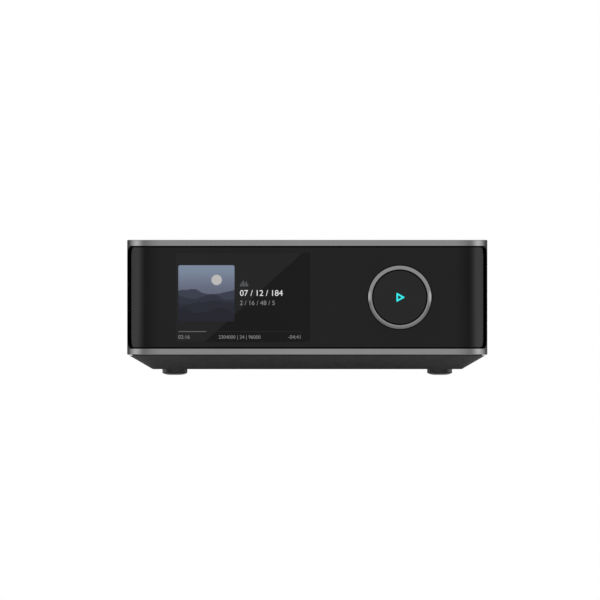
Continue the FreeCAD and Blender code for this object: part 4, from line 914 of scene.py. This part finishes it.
@dataclass
class SubAssembly:
    """A group of CAD nodes and the pieces that this file adds to them."""

    nodes: tuple[str, ...] = ()
    corner_flats: ClassVar[int] = 6
    figure_share: ClassVar[float] = 0.7
    figure_weld: ClassVar[float] = 0.000001

    def build(self) -> None:
        """Makes the added pieces and dresses the CAD nodes."""
        self.make()
        slots = {part["node"]: part["material_slot"] for part in frame["record"]["subparts"]}
        for node in self.nodes:
            for slot in frame["nodes"][node].material_slots:
                slot.material = FINISHES[slots[node]].material()
            LOG.info("%s: CAD node %s in %s", type(self).__name__, node, slots[node])

    def make(self) -> None:
        """Makes the pieces that this sub-assembly adds, if any."""

    def keep(self, piece: Piece, body: str, slot: str, replaces: Iterable[str] = ()) -> None:
        """Attaches a finished piece to the body that it rides on and hides the CAD nodes that it stands for.

        Args:
            piece: the object.
            body: the CAD body that it rides on.
            slot: the record's material slot; not used.
            replaces: CAD nodes that it stands for.
        """
        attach(piece, body)
        if replaces:
            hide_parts(*replaces)
        faces = len(piece.data.polygons)
        LOG.info("%s: piece %s on %s, %d faces", type(self).__name__, piece.name, body, faces)

    @staticmethod
    def finished(name: str, shape: bmesh.types.BMesh, finish: Finish) -> Piece:
        """Makes a piece of an edited shape, which it frees.

        Args:
            name: the piece's name.
            shape: the shape.
            finish: the piece's finish.

        Returns:
            The piece.
        """
        mesh = bpy.data.meshes.new(name)
        shape.to_mesh(mesh)
        shape.free()
        mesh.materials.append(finish.material())
        return add_object(name, mesh)

    def flat(self, name: str, side: Side, depth: float, outlines: Sequence[Outline], finish: Finish) -> Piece:
        """Makes flat marks on one side of the case.

        Args:
            name: the piece's name.
            side: the side that they lie on.
            depth: their Y, in millimetres.
            outlines: closed outlines in X and Z, in millimetres.
            finish: the marks' finish.

        Returns:
            The piece.
        """
        shape = bmesh.new()
        for outline in outlines:
            face = shape.faces.new([shape.verts.new(metres((x, depth, z))) for x, z in outline])
            face.normal_update()
            if face.normal.y * (-1 if side is Side.FRONT else 1) < 0:
                face.normal_flip()
        return self.finished(name, shape, finish)

    @staticmethod
    def block(low: Pair, high: Pair) -> list[Pair]:
        """Gives the outline of a rectangle from its lowest and highest corners."""
        return [low, (high[0], low[1]), high, (low[0], high[1])]

    def rounded(self, low: Pair, high: Pair, radius: float) -> list[Pair]:
        """Gives the outline of a rectangle with round corners.

        Args:
            low: the lowest corner.
            high: the highest corner.
            radius: the corners' radius.

        Returns:
            The points, anticlockwise from the right.
        """
        points, flats = [], self.corner_flats
        for turn, (x, z) in enumerate((high, (low[0], high[1]), low, (high[0], low[1]))):
            across = x - math.copysign(radius, x - (low[0] + high[0]) / 2)
            up = z - math.copysign(radius, z - (low[1] + high[1]) / 2)
            for step in range(flats + 1):
                angle = math.pi / 2 * (turn + step / flats)
                points.append((across + radius * math.cos(angle), up + radius * math.sin(angle)))
        return points

    def digits(self, name: str, side: Side, depth: float, rows: Iterable[Row], finish: Finish) -> Piece:
        """Makes rows of figures on one side of the case.

        Args:
            name: the piece's name.
            side: the side that they lie on.
            depth: their Y, in millimetres.
            rows: for each row its figures, place in X and Z and height in millimetres, and alignment.
            finish: the figures' finish.

        Returns:
            One piece with all rows.
        """
        shape = bmesh.new()
        for text, x, z, height, align in rows:
            curve = bpy.data.curves.new(name + "_row", "FONT")
            curve.body, curve.align_x, curve.size = text, align.value, height * MM / self.figure_share
            writing = add_object(name + "_row", curve)
            bpy.context.view_layer.update()
            graph = bpy.context.evaluated_depsgraph_get()
            mesh = bpy.data.meshes.new_from_object(writing.evaluated_get(graph))
            bpy.data.objects.remove(writing)
            mesh.transform(Matrix.Translation(metres((x, depth, z))) @ side.value)
            shape.from_mesh(mesh)
        bmesh.ops.remove_doubles(shape, verts=shape.verts, dist=self.figure_weld)
        return self.finished(name, shape, finish)


@dataclass
class Case(SubAssembly):
    """Aluminium shell, dark base pan and four turned feet. Sizes are in millimetres.

    A foot's profile has radius and height: the flat of its sole, its curve with a groove at each tread, and
    the way up its side to its plug.
    """

    nodes: tuple[str, ...] = ("shell", "base_pan", "feet", "case_screws")
    foot_spread: float = 147.0
    foot_middle: Point = (0.0, -3.85, 0.0)
    foot_sides: int = 72
    foot_crease: float = 14.0
    sole_flat: float = 3.2
    sole_width: float = 3.15
    sole_height: float = 0.8
    tread: tuple[float, ...] = (3.9, 4.7)
    groove: Outline = ((-0.2, 0.0), (-0.1, 0.18), (0.1, 0.18), (0.2, 0.05))
    foot_side: Outline = (
        (5.6, 0.47), (6.35, 0.8), (6.7, 0.95), (6.9, 1.15), (6.97, 1.4), (6.98, 3.2), (3.0, 3.2), (3.0, 5.2),
        (3.95, 5.3), (4.0, 5.8), (3.6, 6.2), (0.0, 6.2))

    def foot_profile(self) -> list[Pair]:
        """Gives a foot's profile from its sole round to its plug, with fine tread grooves.

        Returns:
            The profile's points.
        """
        profile = [(0.0, 0.0), (self.sole_flat, 0.0)]
        for radius in self.tread:
            sole = self.sole_height * ((radius - self.sole_flat) / self.sole_width) ** 2
            profile += [(radius + aside, sole + deep) for aside, deep in self.groove]
        return [*profile, *self.foot_side]

    def make(self) -> None:
        """Turns the four feet."""
        feet = Lathe().turn("feet_treaded", self.foot_profile(), FINISHES["foot_rubber"], self.foot_middle,
                            self.foot_sides, self.foot_crease, grid=(2, 2),
                            spread=(self.foot_spread, self.foot_spread, 0.0))
        self.keep(feet, "chassis", "foot_rubber", ["feet"])


@dataclass
class FrontPanel(SubAssembly):
    """Gloss front, display glass and what the display shows. Sizes are in millimetres."""

    nodes: tuple[str, ...] = ("front_lens", "front_bezel", "display_glass", "lcd_module", "display_bracket",
                              "front_screws", "display_flex")
    face: float = -102.35
    picture: tuple[Pair, Pair] = ((-71.6, 29.66), (-40.4, 60.9))
    picture_corner: float = 1.0
    bars: tuple[float, ...] = (1.4, 2.6, 3.3, 2.1, 2.9, 1.6)
    bar_sides: Pair = (-37.3, -36.85)
    bar_foot: float = 49.1
    bar_pitch: float = 0.8
    bar_corner: float = 0.2
    progress: float = 24.08
    progress_half: float = 0.24
    progress_corner: float = 0.23
    played: Pair = (-71.55, -56.0)
    track_end: float = -3.2
    track_gap: float = 0.3
    track_inset: float = 0.05
    track_corner: float = 0.18
    title: tuple[Row, ...] = (("07 / 12 / 184", -37.5, 43.9, 3.25, Align.LEFT),)
    figures: tuple[Row, ...] = (
        ("2 / 16 / 48 / 5", -37.5, 38.8, 2.5, Align.LEFT), ("02:16", -71.7, 20.1, 2.05, Align.LEFT),
        ("-04:41", -3.2, 20.1, 2.05, Align.RIGHT), ("2304000 | 24 | 96000", -37.6, 20.1, 1.9, Align.MIDDLE))

    def make(self) -> None:
        """Makes the picture, the bars, the progress line and the figures."""
        low, high = self.progress - self.progress_half, self.progress + self.progress_half
        foot, level = self.bar_foot, []
        for number, height in enumerate(self.bars):
            left, right = (side + self.bar_pitch * number for side in self.bar_sides)
            level.append(self.rounded((left, foot), (right, foot + height), self.bar_corner))
        level.append(self.rounded((self.played[0], low), (self.played[1], high), self.progress_corner))
        track = self.rounded((self.played[1] + self.track_gap, low + self.track_inset),
                             (self.track_end, high - self.track_inset), self.track_corner)
        picture = self.rounded(*self.picture, self.picture_corner)
        for draw, name, marks, finish in (
                (self.flat, "display_picture", [picture], "picture_light"),
                (self.flat, "display_level", level, "mark_light"),
                (self.flat, "display_track", [track], "track_light"),
                (self.digits, "display_title", self.title, "title_light"),
                (self.digits, "display_figures", self.figures, "line_light")):
            piece = draw(name, Side.FRONT, self.face - LAY, marks, FINISHES[finish])
            self.keep(piece, "chassis", "display_module")


@dataclass
class VolumeControl(SubAssembly):
    """Turned ring round a push cap with a lit mark. Sizes are in millimetres."""

    nodes: tuple[str, ...] = ("volume_ring", "ring_carrier", "carrier_clip", "encoder_body", "play_button",
                              "play_light_guide")
    front: float = -112.85
    back: float = -100.95
    step: float = -108.35
    outer: float = 17.55
    inner: float = 16.5
    land: float = 15.5
    land_ease: float = 0.06
    bevel: float = 1.25
    bevel_ease: Pair = (0.05, 0.03)
    back_ease: float = 0.04
    sides: int = 192
    crease: float = 12.0

    def profile(self) -> list[Pair]:
        """Gives the ring's section: land, bevel with softened edges, wall and the step behind the cap.

        Returns:
            The closed section's points, radius and Y.
        """
        y, wide, slope, (far, near) = self.front, self.outer, self.bevel, self.bevel_ease
        start = (self.land, y + self.land_ease)
        return [start, (self.land + self.land_ease, y), (wide - slope - far, y),
                (wide - slope + near, y + near), (wide - near, y + slope - near), (wide, y + slope + far),
                (wide, self.back - self.back_ease), (wide - self.back_ease, self.back),
                (self.inner, self.back), (self.inner, self.step), (self.land, self.step), start]

    def make(self) -> None:
        """Turns the ring about the axis of its joint."""
        section = [(radius, -along) for radius, along in self.profile()]
        ring = Lathe().turn("volume_ring_turned", section, FINISHES["ring_aluminium"],
                            (RING_AXIS[0], 0.0, RING_AXIS[1]), self.sides, self.crease,
                            tilt=(math.pi / 2, 0.0, 0.0))
        self.keep(ring, "volume", "ring_aluminium", ["volume_ring"])


@dataclass
class Electronics(SubAssembly):
    """Boards and what stands on them, inside the case."""

    nodes: tuple[str, ...] = (
        "control_board", "tact_switches", "antennas", "power_board", "amp_board", "main_board", "standoffs",
        "board_screws", "insulating_sheet", "transformer", "bulk_capacitors", "filter_choke", "mains_fuse",
        "amp_chips", "amp_heatsink", "output_inductors", "film_capacitors", "shield_cans", "wireless_module",
        "signal_capacitors")


@dataclass
class RearPanel(SubAssembly):
    """Rear panel with its sockets, contacts and printed marks. Sizes are in millimetres.

    A contact row has its name, its first contact's path, the blade's width and height, a count and a pitch.
    """

    nodes: tuple[str, ...] = (
        "rear_panel", "rca_jacks", "rca_centres", "optical_socket", "optical_flap", "hdmi_socket",
        "usb_socket", "port_tongues", "ethernet_socket", "trigger_jack", "setup_button", "mains_inlet",
        "inlet_pins", "post_insulators", "post_cores", *(f"clamp_washer_{n}" for n in range(1, 5)),
        *(f"post_cap_{n}" for n in range(1, 5)))
    face: float = 95.15
    sockets: tuple[float, ...] = (-64.0, -47.84, -31.68, -15.21, 2.75, 22.41, 41.13, 55.84)
    posts: tuple[float, ...] = (-65.0, -46.0, -27.0, -8.0)
    contact_rows: tuple[tuple[str, tuple[Point, Point, Point], Pair, int, float], ...] = (
        ("network_contacts", ((18.84, 93.2, 61.25), (18.84, 92.4, 61.2), (18.84, 84.5, 56.0)),
         (0.45, 0.22), 8, 1.02),
        ("link_contacts", ((-1.75, 93.6, 53.83), (-1.75, 89.0, 53.85), (-1.75, 84.6, 53.83)),
         (0.42, 0.1), 10, 1.0),
        ("storage_contacts", ((37.63, 93.4, 55.13), (37.63, 89.0, 55.2), (37.63, 84.6, 55.13)),
         (1.1, 0.12), 4, 2.33))
    group_lines: tuple[tuple[Pair, Pair], ...] = (
        ((-71.5, 43.6), (-24.2, 43.95)), ((-22.5, 43.6), (62.0, 43.95)), ((-72.0, 20.2), (-1.0, 20.55)))
    sign_level: float = 39.6
    sign_half: Pair = (1.3, 0.25)
    figure_level: float = 45.2
    figure_height: float = 2.2

    def strokes(self) -> list[list[Pair]]:
        """Gives thin printed lines that group the sockets, with minus and plus marks by turns at the posts.

        Returns:
            The outlines.
        """
        outlines = [self.block(low, high) for low, high in self.group_lines]
        long, thin = self.sign_half
        for number, x in enumerate(self.posts):
            for wide, tall in ((long, thin), (thin, long))[:1 + number % 2]:
                low, high = self.sign_level - tall, self.sign_level + tall
                outlines.append(self.block((x - wide, low), (x + wide, high)))
        return outlines

    def make(self) -> None:
        """Makes contacts and print."""
        rule, gold = ContactRow(), FINISHES["gold_plate"]
        for name, *sizes in self.contact_rows:
            self.keep(rule.row(name, gold, *sizes), "chassis", "gold_plate")
        lay, printed = self.face + LAY, FINISHES["panel_print"]
        lines = self.flat("panel_lines", Side.REAR, lay, self.strokes(), printed)
        self.keep(lines, "chassis", "panel_black")
        marks = [(str(number), x, self.figure_level, self.figure_height, Align.MIDDLE)
                 for number, x in enumerate(self.sockets, 1)]
        figures = self.digits("panel_figures", Side.REAR, lay, marks, printed)
        self.keep(figures, "chassis", "panel_black")


@dataclass
class Studio:
    """Plain floor, pale surround, soft lamps and the camera. Sizes are in metres.

    The levels are the wall's light by the angle from the front, in degrees. Its floor part falls to the
    shade's level from the outer to the inner radius of the shade, as a floor under a case does.
    """

    wall_radius: float = 3.0
    wall_height: float = 0.75
    wall_foot: float = 0.0003
    wall_start: float = 0.001
    wall_sides: int = 96
    levels: Outline = (
        (0, 0.92), (20, 0.8), (33, 0.7), (45, 0.58), (53, 0.52), (58, 0.53), (64, 0.68), (70, 0.97),
        (76, 1.28), (82, 1.56), (88, 1.7), (94, 1.6), (100, 1.38), (106, 1.14), (112, 0.92), (119, 0.68),
        (127, 0.48), (135, 0.32), (146, 0.23), (158, 0.2), (166, 0.34), (173, 0.7), (180, 0.85))
    right_gain: float = 0.05
    top_level: float = 0.9
    shade: Pair = (0.078, 0.15)
    shade_level: float = 0.35
    soft_light: float = 0.65
    floor_reach: float = 40.0
    floor_level: float = -0.0002
    floor_light: float = 1.05
    floor_clear: float = 0.85
    paper: tuple[Colour, Colour] = ((0.88, 0.88, 0.88), (0.9, 0.9, 0.9))
    paper_grain: float = 0.02
    lamps: tuple[tuple[str, Point, float], ...] = (
        ("key", (-1.3, -1.6, 1.7), 10.0), ("fill", (1.6, -1.2, 1.2), 5.0))
    lamp_side: float = 1.2
    lamp_aim: Point = (0.0, 0.0, 0.04)
    view_place: Point = (-0.00403, -2.6, 0.0416)
    view_width: float = 0.33315
    view_clip: Pair = (0.1, 100.0)

    @staticmethod
    def seen(tree: Tree) -> Link:
        """Gives 1 for rays from the camera, reflections and glass."""
        path = tree.add("ShaderNodeLightPath")
        return (path["Is Camera Ray"] + path["Is Glossy Ray"]
                + path["Is Transmission Ray"]).math("MINIMUM", 1.0)

    def world(self) -> None:
        """Makes a white surround that lights softly."""
        world = bpy.data.worlds.new("surround")
        bpy.context.scene.world = world
        tree = fresh_tree(world)
        strength = self.seen(tree) * (1 - self.soft_light) + self.soft_light
        light = tree.add("ShaderNodeBackground", inputs={"Color": (1.0, 1.0, 1.0, 1.0), "Strength": strength})
        tree.add("ShaderNodeOutputWorld", inputs={"Surface": light["Background"]})

    @staticmethod
    def stand(name: str, points: Sequence[Point], faces: Sequence[Sequence[int]],
              material: bpy.types.Material) -> Piece:
        """Adds a studio surface that isn't part of the object.

        Args:
            name: the surface's name.
            points: its corners, in metres.
            faces: its faces.
            material: its material.

        Returns:
            The surface.
        """
        mesh = bpy.data.meshes.new(name)
        mesh.from_pydata(points, [], faces)
        mesh.materials.append(material)
        surface = add_object(name, mesh)
        LOG.info("Studio: %s", name)
        return surface

    def wall(self) -> None:
        """Makes the round wall, seen in reflections only, whose light changes with the direction."""
        material = bpy.data.materials.new("wall_light")
        tree = fresh_tree(material)
        x, y, z = tree.split()
        turn = abs(x.math("ARCTAN2", y * -1.0)) / math.pi
        # The ramp holds half of each level, because a colour in it ends at 1.
        stops = [(angle / 180, level / 2) for angle, level in self.levels]
        ramp = tree.add("ShaderNodeValToRGB", {"stops": stops}, {0: turn})
        level = tree.add("ShaderNodeSeparateColor", inputs={0: ramp["Color"]})[0] * 2
        level = level * (1 + self.right_gain * (x > 0.0))
        top = tree.fade(z, self.wall_height / 2, self.wall_height)
        clear = tree.fade(x.reach(y), *self.shade) * (1 - self.shade_level) + self.shade_level
        strength = (level * (1 - top) + top * self.top_level) * clear
        light = tree.add("ShaderNodeEmission", inputs={"Strength": strength})
        tree.add("ShaderNodeOutputMaterial", inputs={"Surface": light["Emission"]})
        count, radius, foot = self.wall_sides, self.wall_radius, self.wall_foot
        ring = [(math.cos(math.tau * n / count), math.sin(math.tau * n / count)) for n in range(count)]
        points = [(across * reach, along * reach, height) for reach, height in (
            (self.wall_start, foot), (radius, foot), (radius, self.wall_height)) for across, along in ring]
        faces = [(row + n, row + (n + 1) % count, row + count + (n + 1) % count, row + count + n)
                 for row in (0, count) for n in range(count)]
        wall = self.stand("studio_wall", points, faces, material)
        wall.visible_camera = wall.visible_diffuse = wall.visible_shadow = wall.visible_transmission = False

    def floor(self) -> None:
        """Makes the pale floor, which is white to the camera and keeps a soft shadow."""
        material = bpy.data.materials.new("pale_floor")
        tree = fresh_tree(material)
        colour = tree.mix(tree.noise(self.paper_grain), *self.paper)
        paper = tree.add("ShaderNodeBsdfDiffuse", inputs={"Color": colour})
        light = tree.add("ShaderNodeEmission", inputs={"Strength": self.floor_light})
        surface = tree.add("ShaderNodeMixShader", inputs={
            0: self.seen(tree) * self.floor_clear, 1: paper["BSDF"], 2: light["Emission"]})
        tree.add("ShaderNodeOutputMaterial", inputs={"Surface": surface["Shader"]})
        reach = self.floor_reach
        corners = [(x * reach, y * reach, self.floor_level) for x, y in ((-1, -1), (1, -1), (1, 1), (-1, 1))]
        self.stand("studio_floor", corners, [(0, 1, 2, 3)], material)

    def lamp(self, name: str, place: Point, power: float) -> None:
        """Adds a soft square lamp aimed at the object.

        Args:
            name: the lamp's name.
            place: where it stands.
            power: its power in watts.
        """
        light = bpy.data.lights.new(name, "AREA")
        light.energy, light.size = power, self.lamp_side
        lamp = add_object(name, light)
        lamp.location = place
        lamp.rotation_euler = (Vector(self.lamp_aim) - Vector(place)).to_track_quat("-Z", "Y").to_euler()
        lamp.visible_glossy = False

    def camera(self) -> None:
        """Sets the camera level with the object and straight in front, a little left of its middle."""
        lens = bpy.data.cameras.new("view")
        lens.type, lens.ortho_scale = "ORTHO", self.view_width
        lens.clip_start, lens.clip_end = self.view_clip
        view = add_object("view", lens)
        view.location = self.view_place
        view.rotation_euler = (math.pi / 2, 0.0, 0.0)
        bpy.context.scene.camera = view

    def build(self) -> None:
        """Sets up the whole studio."""
        bpy.context.scene.view_settings.view_transform = "Standard"
        self.world()
        self.wall()
        self.floor()
        for name, place, power in self.lamps:
            self.lamp(name, place, power)
        self.camera()


def main() -> None:
    """Builds the sub-assemblies in order, then the studio."""
    logging.basicConfig(level=logging.INFO, format="%(message)s")
    for part in (Case(), FrontPanel(), VolumeControl(), Electronics(), RearPanel()):
        part.build()
    Studio().build()


if __name__ == "__main__":
    main()
